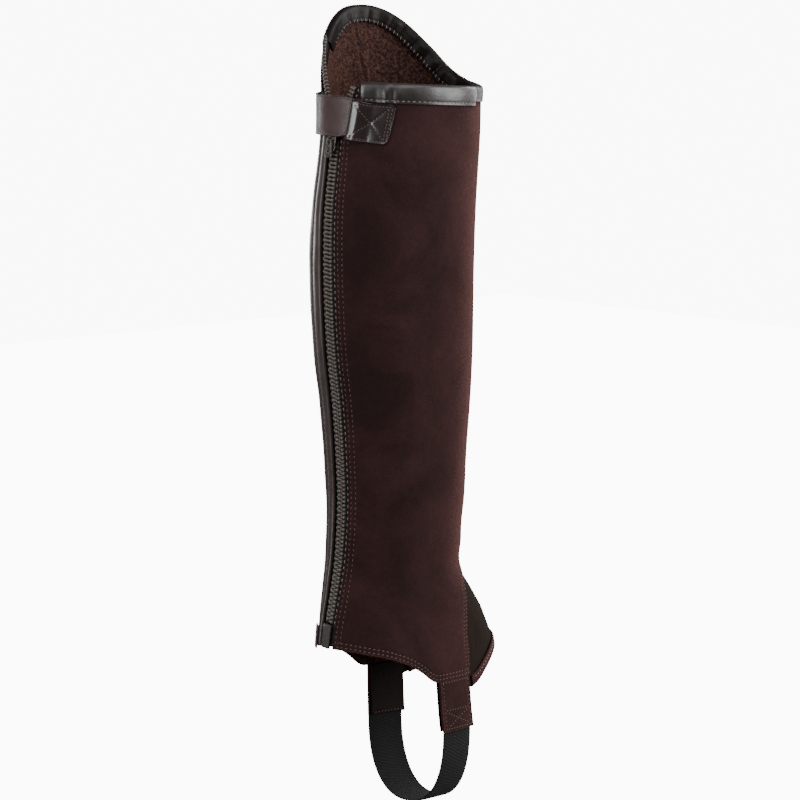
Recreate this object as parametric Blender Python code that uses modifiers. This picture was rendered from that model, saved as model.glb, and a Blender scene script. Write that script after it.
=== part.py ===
"""A riding half chap for the left leg: a suede tube from the ankle to below the knee, closed by a zip up its back.

The chap is modelled as it is worn, standing hollow with no leg in it. +X points to the toe, +Y to the outer
side of the leg and +Z up. The origin is on the leg's axis, at the height where the calf is widest.
Sizes in the tables are millimetres and degrees. Angles go round the leg from the front: 0 is the shin, 90 the
outer side, -90 the inner side and 180 the back, where the zip is.
"""

from collections import namedtuple
from math import pi

import bmesh
import bpy
import numpy as np
from mathutils import Matrix, Vector

MM = 0.001

# Driving dimensions of the leg that the chap fits: the outside of the suede, as half ellipses.
Section = namedtuple("Section", "height back front side")
LEG = [
    Section(-365, 69, 96, 43),
    Section(-330, 69, 96, 43),
    Section(-304, 69, 95, 43),
    Section(-288, 68.5, 89.5, 43),
    Section(-274, 66.6, 82, 43.4),
    Section(-262, 64.4, 73.5, 44.2),
    Section(-250, 62, 64, 45),
    Section(-240, 60.2, 55.5, 45.7),
    Section(-231, 58.6, 48.2, 46.2),
    Section(-212, 56.5, 48.3, 47.5),
    Section(-182, 55, 51.9, 49.8),
    Section(-145, 57, 53.9, 51.7),
    Section(-109, 60.4, 56, 54),
    Section(-72, 65.2, 56.6, 56.4),
    Section(-30, 68, 56.1, 59),
    Section(0, 68.2, 56.4, 60),
    Section(27, 66.5, 57.6, 59.8),
    Section(45, 64.3, 59.4, 59),
    Section(64, 61, 61.9, 58),
    Section(88, 57.2, 65.2, 57),
    Section(134, 57, 67.9, 56),
    Section(200, 56, 69, 55.5),
]

# The cut edge at the top of the suede, round the whole leg. It climbs over the outer side.
TopEdge = namedtuple("TopEdge", "angle height")
TOP_EDGE = [
    TopEdge(-175, 130.5),
    TopEdge(-150, 130),
    TopEdge(-104, 128),
    TopEdge(-60, 125.2),
    TopEdge(-38, 124.4),
    TopEdge(-20, 125.2),
    TopEdge(-3, 127.7),
    TopEdge(13, 135),
    TopEdge(32, 153),
    TopEdge(51, 171),
    TopEdge(62, 178.2),
    TopEdge(73, 182.2),
    TopEdge(84, 183),
    TopEdge(95, 181),
    TopEdge(106, 175),
    TopEdge(118, 164.5),
    TopEdge(128, 152),
    TopEdge(137, 139),
    TopEdge(144.5, 127),
    TopEdge(151, 116),
    TopEdge(157, 105),
    TopEdge(162, 95),
    TopEdge(166, 85),
]

# The hem of each side panel. It is the same on both sides and runs level across the top of the tab.
Hem = namedtuple("Hem", "angle height")
HEM = [
    Hem(60, -319.5),
    Hem(74, -319.5),
    Hem(87, -319.5),
    Hem(92, -317),
    Hem(99, -310.5),
    Hem(108, -304),
    Hem(117, -299.5),
    Hem(128, -295.5),
    Hem(140, -293),
    Hem(156, -290.5),
    Hem(176, -289.5),
]

# The seam where the leather gusset over the instep meets the suede, and the gusset's own hem.
GUSSET_SIDE = 65.5
GUSSET_LAP = 3.0
GussetSeam = namedtuple("GussetSeam", "height angle")
GUSSET_SEAM = [
    GussetSeam(-330, GUSSET_SIDE),
    GussetSeam(-292, GUSSET_SIDE),
    GussetSeam(-275, 63),
    GussetSeam(-252, 56),
    GussetSeam(-238, 50),
    GussetSeam(-224, 38),
    GussetSeam(-212, 22),
    GussetSeam(-202, 3),
]
GussetHem = namedtuple("GussetHem", "angle height")
GUSSET_HEM = [
    GussetHem(0, -302),
    GussetHem(20, -304),
    GussetHem(35, -309.5),
    GussetHem(46, -316.5),
    GussetHem(57, -325.5),
    GussetHem(GUSSET_SIDE, -329.5),
]

# The line up the back that the zip follows, as the angle of its middle.
ZIP_START = -272
SLIDER_HEIGHT = 87.5
ZipMiddle = namedtuple("ZipMiddle", "height angle")
ZIP_MIDDLE = [
    ZipMiddle(-292, 172.4),
    ZipMiddle(-280, 172.9),
    ZipMiddle(-240, 175.4),
    ZipMiddle(-200, 176.6),
    ZipMiddle(-150, 177.8),
    ZipMiddle(-100, 178.8),
    ZipMiddle(-50, 178.8),
    ZipMiddle(0, 178),
    ZipMiddle(30, 176.4),
    ZipMiddle(60, 174.6),
    ZipMiddle(90, 173.5),
    ZipMiddle(200, 173.5),
]
TO_INNER_PANEL = 9.4
TO_STRIP = 8.2

# Above the slider the zip stands open. Its inner half turns this far round from the middle.
ZipOpening = namedtuple("ZipOpening", "height turn")
ZIP_OPENING = [
    ZipOpening(-300, 0),
    ZipOpening(SLIDER_HEIGHT, 0),
    ZipOpening(97, 2),
    ZipOpening(106, 6),
    ZipOpening(115, 11),
    ZipOpening(124, 16),
    ZipOpening(133, 19.5),
]
INNER_ZIP_TOP = 129.5

# Its outer half runs up beside the sloping edge of the outer panel.
ZipLine = namedtuple("ZipLine", "angle height")
OUTER_ZIP_END = [
    ZipLine(171, 99),
    ZipLine(166, 109.5),
    ZipLine(160, 120.5),
    ZipLine(153.5, 132),
    ZipLine(146, 144),
    ZipLine(137.5, 156),
    ZipLine(131.5, 163),
]

# The lowest share of a long panel's height, where the leg bends most, and the share of its rows kept for it.
ANKLE = 0.28
ANKLE_ROWS = 0.5

# Thicknesses, and how far each layer's outer face lies from the outside of the suede.
SEAM_GAP = 0.3
SUEDE = 2.0
LINING = 0.9
TAPE = 0.8
TAPE_WIDTH = 14.0
LEATHER = 1.2
UNDER_SUEDE = -(SUEDE + SEAM_GAP)
OVER_SUEDE = LEATHER + SEAM_GAP

# The leather strip beside the zip on the outer side: two rounded folds with a groove between them.
STRIP_FROM = 147.0
STRIP_FOLD = 1.4

# The top bands: a folded leather strip over the cut edge. The outer one is narrower on the outside.
INNER_BAND_OUTSIDE = 13.7
OUTER_BAND_OUTSIDE = 10.7
BAND_INSIDE = 11.5
INNER_BAND_START = -158.0
BAND_JOINT = -61.0
OUTER_BAND_END = 124.0

# The tabs that hold the elastic under the foot. The inner one leans forward.
TAB_TOP = -319.5
TAB_BOTTOM = -359.0
TAB_TOP_ANGLES = {"inner": (66.2, 87.2), "outer": (66.2, 85.8)}
TAB_BOTTOM_ANGLES = {"inner": (62.0, 84.2), "outer": (65.0, 85.3)}
ELASTIC_WIDTH = 31.5
ELASTIC_THICKNESS = 1.5
ELASTIC_END = -340.0
ELASTIC_DROP = 60.0
ELASTIC_CENTRE = 24.5
ELASTIC_LEAN = 2.7
ELASTIC_SQUARENESS = 2.3

# The strap that closes over the top of the zip, and the patch that it is sewn under.
STRAP_LOW, STRAP_HIGH = 90.8, 121.3
STRAP_FROM, STRAP_TO = 112.0, 197.5
StrapStep = namedtuple("StrapStep", "angle out")
STRAP_PATH = [
    StrapStep(112, 2.0),
    StrapStep(122, 2.1),
    StrapStep(132, 2.7),
    StrapStep(142, 3.7),
    StrapStep(152, 4.8),
    StrapStep(162, 5.6),
    StrapStep(172, 5.8),
    StrapStep(180, 5.4),
    StrapStep(187, 4.8),
    StrapStep(193, 4.0),
    StrapStep(206, 3.9),
]
STRAP_THICKNESS = 1.8
STRAP_SHEAR = 6.5
PATCH_FROM, PATCH_TO = 190.0, 221.5
PATCH_LOW, PATCH_HIGH = 89.0, 119.8
PatchStep = namedtuple("PatchStep", "share out")
PATCH_PATH = [
    PatchStep(0, 5.7),
    PatchStep(0.12, 5.5),
    PatchStep(0.25, 5.3),
    PatchStep(0.36, 3.6),
    PatchStep(0.52, OVER_SUEDE),
    PatchStep(1, OVER_SUEDE),
]
SNAP_ANGLE = 120.5
SNAP_RADIUS = 6.0

# The small leather fold at the bottom of the back strip: its angles and its heights.
END_TAB_FROM, END_TAB_TO = 149.5, 160.0
END_TAB_LOW, END_TAB_HIGH = -292.0, -275.0

# The zip's hard pieces.
TOOTH_REACH = 4.2
BOX_WIDTH = 10.4
BOX_BOTTOM = -290.0
TEETH_OUTER_FACE = -1.0
TEETH_THICKNESS = 3.2
SLIDER_LENGTH, SLIDER_WIDTH, SLIDER_THICKNESS = 17.0, 12.0, 2.6
SLIDER_BACK_FACE = TEETH_OUTER_FACE + SEAM_GAP
ARCH_RADIUS = 1.7
ARCH_WIRE = 0.65
PULL_LENGTH = 12.5
PULL_HALF_WIDTH = 2.6
PULL_THICKNESS = 1.2
PULL_BAR = 1.1


def curve_through(table, across, value):
    """A smooth function through a table's rows: a cubic on each interval, with the rows' own mean slopes.

    Two equal rows have a flat stretch between them.
    """
    knots = np.array([getattr(row, across) for row in table], float)
    values = np.array([getattr(row, value) for row in table], float)
    slopes = np.gradient(values, knots)
    flat = np.diff(values) == 0
    slopes[:-1][flat] = 0
    slopes[1:][flat] = 0

    def at(x):
        x = np.clip(x, knots[0], knots[-1])
        i = np.clip(np.searchsorted(knots, x) - 1, 0, len(knots) - 2)
        width = knots[i + 1] - knots[i]
        s = (x - knots[i]) / width
        start = values[i] * (1 + 2 * s) * (1 - s) ** 2 + slopes[i] * width * s * (1 - s) ** 2
        end = values[i + 1] * s**2 * (3 - 2 * s) + slopes[i + 1] * width * s**2 * (s - 1)
        return start + end

    return at


back_reach = curve_through(LEG, "height", "back")
front_reach = curve_through(LEG, "height", "front")
side_reach = curve_through(LEG, "height", "side")
top_height = curve_through(TOP_EDGE, "angle", "height")
hem_height = curve_through(HEM, "angle", "height")
gusset_angle = curve_through(GUSSET_SEAM, "height", "angle")
gusset_hem = curve_through(GUSSET_HEM, "angle", "height")
zip_middle = curve_through(ZIP_MIDDLE, "height", "angle")
zip_opening = curve_through(ZIP_OPENING, "height", "turn")


def leg_surface(angle, height):
    """A point of the suede's outside: two half ellipses, joined at the sides."""
    turn = np.radians(angle)
    reach = np.where(np.cos(turn) >= 0, front_reach(height), back_reach(height))
    across = side_reach(height) * np.sin(turn)
    return np.stack(np.broadcast_arrays(reach * np.cos(turn), across, height), axis=-1)


def on_leg(angle, height, out=0.0):
    """Points at these angles and heights, moved out from the suede's outside along its normal."""
    angle, height, out = np.broadcast_arrays(*(np.asarray(v, float) for v in (angle, height, out)))
    around = leg_surface(angle + 0.5, height) - leg_surface(angle - 0.5, height)
    up = leg_surface(angle, height + 0.5) - leg_surface(angle, height - 0.5)
    normal = np.cross(around, up)
    normal /= np.linalg.norm(normal, axis=-1, keepdims=True)
    return leg_surface(angle, height) + out[..., None] * normal


def new_object(name, mesh, material):
    obj = bpy.data.objects.new(name, mesh)
    obj.data.materials.append(material)
    CHAP.objects.link(obj)
    return obj


def make_material(name, colour, roughness, metallic=0.0):
    material = bpy.data.materials.new(name)
    material.use_nodes = True
    shader = material.node_tree.nodes["Principled BSDF"]
    shader.inputs["Base Color"].default_value = (*colour, 1)
    shader.inputs["Roughness"].default_value = roughness
    shader.inputs["Metallic"].default_value = metallic
    return material


def sheet(name, points, thickness, material):
    """A cloth wall: a grid of points on its outer face, given its thickness inwards by Solidify."""
    rows, columns = points.shape[:2]
    corner = np.arange(rows * columns).reshape(rows, columns)
    faces = np.stack([corner[:-1, :-1], corner[:-1, 1:], corner[1:, 1:], corner[1:, :-1]], axis=-1)
    mesh = bpy.data.meshes.new(name)
    mesh.from_pydata((points.reshape(-1, 3) * MM).tolist(), [], faces.reshape(-1, 4).tolist())
    mesh.shade_smooth()
    obj = new_object(name, mesh, material)
    wall = obj.modifiers.new("Wall", "SOLIDIFY")
    wall.thickness = thickness * MM
    wall.offset = -1
    return obj


def cloth_grid(angle_of, low, high, columns, rows, out=0.0, whole_leg=False):
    """Points of a panel. Each column runs from the height low to high, and angle_of says where it stands.

    angle_of takes a share across the panel and a height, and low and high take the share. A panel as long as
    the whole leg has closer rows at the ankle.
    """
    share = np.linspace(0, 1, columns)[None, :]
    rise = np.linspace(0, 1, rows)[:, None]
    if whole_leg:
        rise = np.interp(rise, [0, ANKLE_ROWS, 1], [0, ANKLE, 1])
    height = low(share) + (high(share) - low(share)) * rise
    return on_leg(angle_of(share, height), height, out)


def path_points(rows, steps):
    """Angles and heights at even steps of length along a smooth line through a table's rows."""
    angles = np.array([row.angle for row in rows], float)
    heights = np.array([row.height for row in rows], float)
    length = np.concatenate([[0], np.cumsum(np.hypot(np.diff(angles), np.diff(heights)))])
    Knot = namedtuple("Knot", "along angle height")
    knots = [Knot(*values) for values in zip(length, angles, heights)]
    along = np.linspace(0, length[-1], steps)
    return curve_through(knots, "along", "angle")(along), curve_through(knots, "along", "height")(along)


def sweep(name, angles, heights, profile, material, side=1, gather=None):
    """A strip along a line on the leg: a closed profile of (inset, out) pairs, carried along the line.

    inset is measured along the leg's surface, square to the line and to its left, or to its right if side
    is -1. gather is an extra thickness at each step, away from the middle of the layers.
    """
    per_degree = np.linalg.norm(leg_surface(angles + 0.5, heights) - leg_surface(angles - 0.5, heights), axis=-1)
    step_across = np.gradient(angles) * per_degree
    step_up = np.gradient(heights)
    length = np.hypot(step_across, step_up)
    left_across, left_up = -side * step_up / length, side * step_across / length
    middle = (max(out for _, out in profile) + min(out for _, out in profile)) / 2
    rings = []
    for inset, out in profile:
        spread = 0 if gather is None else gather * np.sign(out - middle)
        moved = on_leg(angles + inset * left_across / per_degree, heights + inset * left_up, out + spread)
        rings.append(moved)
    rings = np.stack(rings, axis=1)
    return loft(name, rings, material)


def loft(name, rings, material):
    """A closed solid through rings of points, with a flat face at each end."""
    steps, around = rings.shape[:2]
    mesh = bmesh.new()
    verts = [[mesh.verts.new(point * MM) for point in ring] for ring in rings]
    for here, there in zip(verts[:-1], verts[1:]):
        for i in range(around):
            j = (i + 1) % around
            mesh.faces.new((here[i], here[j], there[j], there[i]))
    mesh.faces.new(verts[0][::-1])
    mesh.faces.new(verts[-1])
    bmesh.ops.recalc_face_normals(mesh, faces=mesh.faces)
    made = bpy.data.meshes.new(name)
    mesh.to_mesh(made)
    mesh.free()
    return new_object(name, made, material)


def front_edge(height):
    """Where a side panel stops at the front: half a seam gap from the shin, or at the gusset's seam."""
    below = height < GUSSET_SEAM[-1].height
    return np.where(below, gusset_angle(height), SEAM_GAP)


def inner_edge(height):
    """How far round the inner side the suede stops beside the zip, as a positive angle."""
    closed = 360 - zip_middle(height) - TO_INNER_PANEL / (side_reach(height) * pi / 180)
    return closed - zip_opening(height)


def strip_edge(height):
    """The angle of the leather strip's edge beside the zip."""
    return zip_middle(height) - TO_STRIP / (side_reach(height) * pi / 180)


def inner_panel(suede):
    """The large suede panel that faces the horse, from the zip round to the shin."""

    def angle(share, height):
        return -(inner_edge(height) + (front_edge(height) - inner_edge(height)) * share)

    def low(share):
        start = inner_edge(HEM[-1].height)
        return hem_height(start + (GUSSET_SIDE - start) * share)

    def high(share):
        return top_height(INNER_BAND_START * (1 - share))

    sheet("inner_panel", cloth_grid(angle, low, high, 20, 35, whole_leg=True), SUEDE, suede)


def outer_panel(suede):
    """The suede panel away from the horse. Its top rises well above the inner one."""

    def angle(share, height):
        start = front_edge(height)
        return start + (STRIP_FROM - SEAM_GAP - start) * share

    def low(share):
        return hem_height(GUSSET_SIDE + (STRIP_FROM - GUSSET_SIDE) * share)

    def high(share):
        return top_height(STRIP_FROM * share)

    sheet("outer_panel", cloth_grid(angle, low, high, 19, 35, whole_leg=True), SUEDE, suede)


def back_strip(leather):
    """The smooth leather beside the zip, with two rounded folds and a stitched groove."""
    share = np.linspace(0, 1, 9)
    folds = STRIP_FOLD * np.abs(np.sin(2 * pi * share)) ** 0.8

    def angle(share, height):
        return STRIP_FROM + (strip_edge(height) - STRIP_FROM) * share

    def low(share):
        return hem_height(angle(share, HEM[-1].height))

    def high(share):
        return top_height(angle(share, SLIDER_HEIGHT)) - SEAM_GAP

    outside = cloth_grid(angle, low, high, 9, 26, folds)
    inside = cloth_grid(angle, low, high, 9, 26, -SUEDE)
    rings = np.concatenate([outside, inside[:, ::-1]], axis=1)
    loft("back_strip", rings, leather)


def outer_lining(felt):
    """The felt inside the outer panel. It stops beside the zip's tape, and under the inside leaf of the band."""
    beside_tape = TAPE_WIDTH + 2 * SEAM_GAP
    beside_gusset = GUSSET_LAP + 2.5
    above_gusset = 15.0
    band_end = OUTER_BAND_END - 12.0
    below_slope = 12.0

    def angle(share, height):
        start = front_edge(height - above_gusset) + beside_gusset
        end = zip_middle(height) - beside_tape / (side_reach(height) * pi / 180)
        return start + (end - start) * share

    def low(share):
        return hem_height(angle(share, HEM[0].height)) + 2.0

    def high(share):
        here = angle(share, SLIDER_HEIGHT)
        past_band = np.clip((here - band_end) / (OUTER_BAND_END - band_end), 0, 1)
        return top_height(here) - 1.0 - below_slope * past_band

    out = UNDER_SUEDE - SEAM_GAP
    sheet("outer_lining", cloth_grid(angle, low, high, 16, 28, out, whole_leg=True), LINING, felt)


def folded_band(outside, inside, inner_face):
    """The profile of a leather strip folded over a cut edge: (inset, out) pairs, once round its section."""
    thick, rise = LEATHER - 0.1, 1.6
    return [
        (outside, SEAM_GAP + thick),
        (1.0, SEAM_GAP + thick),
        (-0.8, SEAM_GAP + 0.6 * thick),
        (-rise, -0.4),
        (-rise, inner_face + 0.4),
        (-0.8, inner_face - 0.6 * thick),
        (1.0, inner_face - thick),
        (inside, inner_face - thick),
        (inside, inner_face),
        (-SEAM_GAP, inner_face),
        (-SEAM_GAP, SEAM_GAP),
        (outside, SEAM_GAP),
    ]


def inner_band(leather):
    """The leather band along the low inner top, with a few soft wrinkles near the zip."""
    depth, spacing, last = 0.4, 13.0, -115.0
    angles = np.linspace(INNER_BAND_START, BAND_JOINT - SEAM_GAP, 34)
    towards_zip = np.clip((last - angles) / 30, 0, 1)
    wrinkles = depth * towards_zip * (0.5 - 0.5 * np.cos((angles + 165) * 2 * pi / spacing))
    profile = folded_band(INNER_BAND_OUTSIDE, BAND_INSIDE, UNDER_SUEDE - TAPE - SEAM_GAP)
    sweep("inner_band", angles, top_height(angles), profile, leather, side=-1, gather=wrinkles)


def outer_band(leather):
    """The leather band over the high outer top. It is gathered where the edge slopes down to the front."""
    depth, spacing, first, last = 0.7, 9.0, -5.0, 62.0
    angles = np.linspace(BAND_JOINT, OUTER_BAND_END, 54)
    slope = np.clip((angles - first) / 15, 0, 1) * np.clip((last - angles) / 15, 0, 1)
    gathers = depth * slope * (0.5 + 0.5 * np.cos(angles * 2 * pi / spacing))
    profile = folded_band(OUTER_BAND_OUTSIDE, BAND_INSIDE, UNDER_SUEDE - LINING - 3 * SEAM_GAP)
    sweep("outer_band", angles, top_height(angles), profile, leather, side=-1, gather=gathers)


def instep_gusset(leather):
    """The smooth leather that flares over the instep of the boot. The suede's edges lap over its sides."""

    def angle(share, height):
        return (2 * share - 1) * (gusset_angle(height) + GUSSET_LAP)

    def low(share):
        return gusset_hem(np.abs(2 * share - 1) * (GUSSET_SIDE + GUSSET_LAP))

    def high(share):
        return GUSSET_SEAM[-1].height + 3 * GUSSET_LAP + 0 * share

    recess = 1.0
    out = UNDER_SUEDE - np.linspace(0, recess, 15)[:, None]
    sheet("instep_gusset", cloth_grid(angle, low, high, 19, 15, out), LEATHER, leather)


def gusset_binding(suede):
    """The suede binding folded round the gusset's hem."""
    angles = np.linspace(-62.4, 62.4, 25)
    outer_face = UNDER_SUEDE + SEAM_GAP
    inner_face = UNDER_SUEDE - LEATHER - SEAM_GAP
    profile = [
        (8.5, outer_face + 1.0),
        (0.6, outer_face + 1.0),
        (-1.4, outer_face + 0.1),
        (-1.4, inner_face - 0.1),
        (0.6, inner_face - 1.0),
        (6.0, inner_face - 1.0),
        (6.0, inner_face),
        (-SEAM_GAP, inner_face),
        (-SEAM_GAP, outer_face),
        (8.5, outer_face),
    ]
    sweep("gusset_binding", angles, gusset_hem(np.abs(angles)), profile, suede)


def tab(side, suede):
    """One end of the strap under the foot: the suede runs on below the hem, and a second layer backs it."""
    sign = -1 if side == "inner" else 1
    rise = np.linspace(0, 1, 7)[:, None]
    share = np.linspace(0, 1, 7)[None, :]
    height = TAB_BOTTOM + (TAB_TOP - SEAM_GAP - TAB_BOTTOM) * rise + 0 * share
    front, rear = (
        low + (high - low) * rise**0.7
        for low, high in zip(TAB_BOTTOM_ANGLES[side], TAB_TOP_ANGLES[side])
    )
    angle = front + (rear - front) * share
    if side == "inner":
        angle = -angle[:, ::-1]
    sheet(f"{side}_tab", on_leg(angle, height), SUEDE, suede)
    behind = -(SUEDE + ELASTIC_THICKNESS + 2 * SEAM_GAP)
    backing = on_leg(angle - 0.4 * sign * (2 * share - 1), height + 0.5, behind)
    sheet(f"{side}_tab_backing", backing, LEATHER, suede)


def elastic_strap(webbing):
    """The elastic under the foot: down inside one tab, round a squared half ellipse and up inside the other."""
    turn = np.linspace(0, pi, 31)
    arm = np.linspace(ELASTIC_END, TAB_BOTTOM, 5)[:-1]
    power = 2 / ELASTIC_SQUARENESS
    bend_out = np.sign(np.cos(turn)) * np.abs(np.cos(turn)) ** power
    bend_down = np.abs(np.sin(turn)) ** power
    share = np.concatenate([np.ones(4), bend_out, -np.ones(4)])[:, None]
    height = np.concatenate([arm, TAB_BOTTOM - ELASTIC_DROP * bend_down, arm[::-1]])[:, None]
    across = ELASTIC_WIDTH * np.linspace(-0.5, 0.5, 3)[None, :]
    x = ELASTIC_CENTRE - ELASTIC_LEAN * share + across
    side = side_reach(TAB_BOTTOM) * np.sqrt(1 - (x / front_reach(TAB_BOTTOM)) ** 2)
    y = share * (side - SUEDE - SEAM_GAP)
    points = np.stack(np.broadcast_arrays(x, y, height), axis=-1)
    sheet("elastic_strap", points, ELASTIC_THICKNESS, webbing)


def strip_over_zip(name, angles, low, high, out, thickness, material):
    """A flat piece that lies round the back of the leg, its outer face at a given distance from it."""
    rise = np.linspace(0, 1, angles.shape[0])[:, None]
    heights = low + (high - low) * rise
    sheet(name, on_leg(angles, heights, out), thickness, material)


def closure_strap(leather):
    """The leather strap across the top of the zip. Its free end on the outer side is rounded."""
    share = np.linspace(0, 1, 28)[None, :]
    rise = np.linspace(0, 1, 5)[:, None]
    angles = STRAP_FROM + (STRAP_TO + STRAP_SHEAR * rise - STRAP_FROM) * share
    middle, half = (STRAP_LOW + STRAP_HIGH) / 2, (STRAP_HIGH - STRAP_LOW) / 2
    under_patch = 2.0 * np.clip((share - 0.84) / 0.1, 0, 1)
    rounded = half * np.sqrt(1 - np.clip(1 - share / 0.12, 0, 0.93) ** 2) - under_patch
    out = curve_through(STRAP_PATH, "angle", "out")(angles)
    strip_over_zip("closure_strap", angles, middle - rounded, middle + rounded, out, STRAP_THICKNESS, leather)


def strap_patch(leather):
    """The square of leather, sewn on with a crossed box, that holds the strap's end to the inner panel."""
    share = np.linspace(0, 1, 15)[None, :]
    rise = np.linspace(0, 1, 5)[:, None]
    angles = PATCH_FROM + STRAP_SHEAR * rise + (PATCH_TO - PATCH_FROM - 0.8 * rise) * share
    corner = 3.0 * np.clip((share - 0.88) / 0.12, 0, 1) ** 2
    low = PATCH_LOW - 3.5 * share + corner
    high = PATCH_HIGH - 3.0 * np.clip(share / 0.4, 0, 1) - 1.5 * share - corner
    out = curve_through(PATCH_PATH, "share", "out")(share)
    strip_over_zip("strap_patch", angles, low, high, out, LEATHER, leather)


def inner_zip_line(steps, start):
    """Angles and heights up the middle of the zip, and then up its inner half where it stands open."""
    heights = np.linspace(start, INNER_ZIP_TOP, steps)
    return zip_middle(heights) - 360 + zip_opening(heights), heights


def outer_zip_line(steps, start):
    """Angles and heights up the middle of the zip, and then up its outer half beside the sloping edge."""
    closed = np.linspace(start, SLIDER_HEIGHT, 30)
    rows = [ZipLine(float(zip_middle(height)), height) for height in closed]
    return path_points(rows + OUTER_ZIP_END, steps)


def zip_half(side, tape_fabric, teeth_plastic):
    """One half of the zip: its woven tape, under the panel's edge, and its row of teeth."""
    line = inner_zip_line if side == "inner" else outer_zip_line
    to_panel = -1 if side == "inner" else 1
    front = UNDER_SUEDE - 0.4
    behind = front - TAPE
    beside = TOOTH_REACH + 0.4
    tape = [(beside, behind), (TAPE_WIDTH, behind), (TAPE_WIDTH, front), (beside, front)]
    sweep(f"zip_tape_{side}", *line(38, HEM[-1].height + 1.5), tape, tape_fabric, side=to_panel)
    back = TEETH_OUTER_FACE - TEETH_THICKNESS
    teeth = [
        (0.2, back),
        (TOOTH_REACH, back),
        (TOOTH_REACH, TEETH_OUTER_FACE - 0.5),
        (TOOTH_REACH - 0.7, TEETH_OUTER_FACE),
        (0.2, TEETH_OUTER_FACE),
    ]
    sweep(f"zip_teeth_{side}", *line(38, ZIP_START), teeth, teeth_plastic, side=to_panel)


def zip_box(plastic):
    """The reinforced bottom end of the zip, where its two halves are joined. It lies over the tapes."""
    behind, front = -2.0, 0.3
    heights = np.array([BOX_BOTTOM, BOX_BOTTOM + 1.5, ZIP_START - 2.0, ZIP_START - SEAM_GAP])
    half = BOX_WIDTH / 2 * np.array([0.86, 1, 1, 1])
    reach = half / (side_reach(heights) * pi / 180)
    rings = []
    for height, turn in zip(heights, reach):
        middle = zip_middle(height)
        corners = [(-turn, behind), (turn, behind), (turn, front), (-turn, front)]
        rings.append([on_leg(middle + across, height, out) for across, out in corners])
    loft("zip_box", np.array(rings), plastic)


def zip_end_tab(leather):
    """The small leather fold that finishes the back strip beside the bottom of the zip."""
    thickness = 1.5
    angles = np.linspace(END_TAB_FROM, END_TAB_TO, 5)[None, :]
    heights = np.linspace(END_TAB_LOW, END_TAB_HIGH, 5)[:, None]
    sheet("zip_end_tab", on_leg(angles, heights, STRIP_FOLD + SEAM_GAP + thickness), thickness, leather)


def hardware_frame(name, angle, height, out):
    """An empty beside the leg's surface: its X points out of the leg, and its Z up along it."""
    origin = Vector(on_leg(angle, height, out) * MM)
    outwards = Vector(on_leg(angle, height, 1.0) - on_leg(angle, height, 0.0)).normalized()
    along = Vector(on_leg(angle, height + 1) - on_leg(angle, height - 1)).normalized()
    across = along.cross(outwards).normalized()
    empty = bpy.data.objects.new(name, None)
    CHAP.objects.link(empty)
    turned = Matrix((outwards, across, outwards.cross(across))).transposed()
    empty.matrix_world = Matrix.Translation(origin) @ turned.to_4x4()
    return empty


def flat_plate(name, outlines, thickness):
    """A mesh plate from closed outlines of (y, z) points in its own plane. Outlines after the first are holes."""
    curve = bpy.data.curves.new(name, "CURVE")
    curve.dimensions = "2D"
    curve.fill_mode = "BOTH"
    curve.extrude = thickness / 2 * MM
    for outline in outlines:
        spline = curve.splines.new("POLY")
        spline.points.add(len(outline) - 1)
        for point, (y, z) in zip(spline.points, outline):
            point.co = (y * MM, z * MM, 0, 1)
        spline.use_cyclic_u = True
    return mesh_from_curve(name, curve)


def mesh_from_curve(name, curve):
    """The evaluated mesh of a curve, with its loose caps welded on."""
    obj = bpy.data.objects.new(name, curve)
    CHAP.objects.link(obj)
    mesh = bpy.data.meshes.new_from_object(obj.evaluated_get(bpy.context.evaluated_depsgraph_get()))
    bpy.data.objects.remove(obj)
    welded = bmesh.new()
    welded.from_mesh(mesh)
    bmesh.ops.remove_doubles(welded, verts=welded.verts, dist=0.00001)
    bmesh.ops.recalc_face_normals(welded, faces=welded.faces)
    welded.to_mesh(mesh)
    welded.free()
    return mesh


def arc(centre, radius, start, end, steps):
    """Points round an arc, in degrees from +Y towards +Z."""
    turn = np.radians(np.linspace(start, end, steps))
    return [(centre[0] + radius * np.cos(t), centre[1] + radius * np.sin(t)) for t in turn]


PLATE_TO_FRAME = Matrix(((0, 0, 1, 0), (1, 0, 0, 0), (0, 1, 0, 0), (0, 0, 0, 1)))


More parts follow.
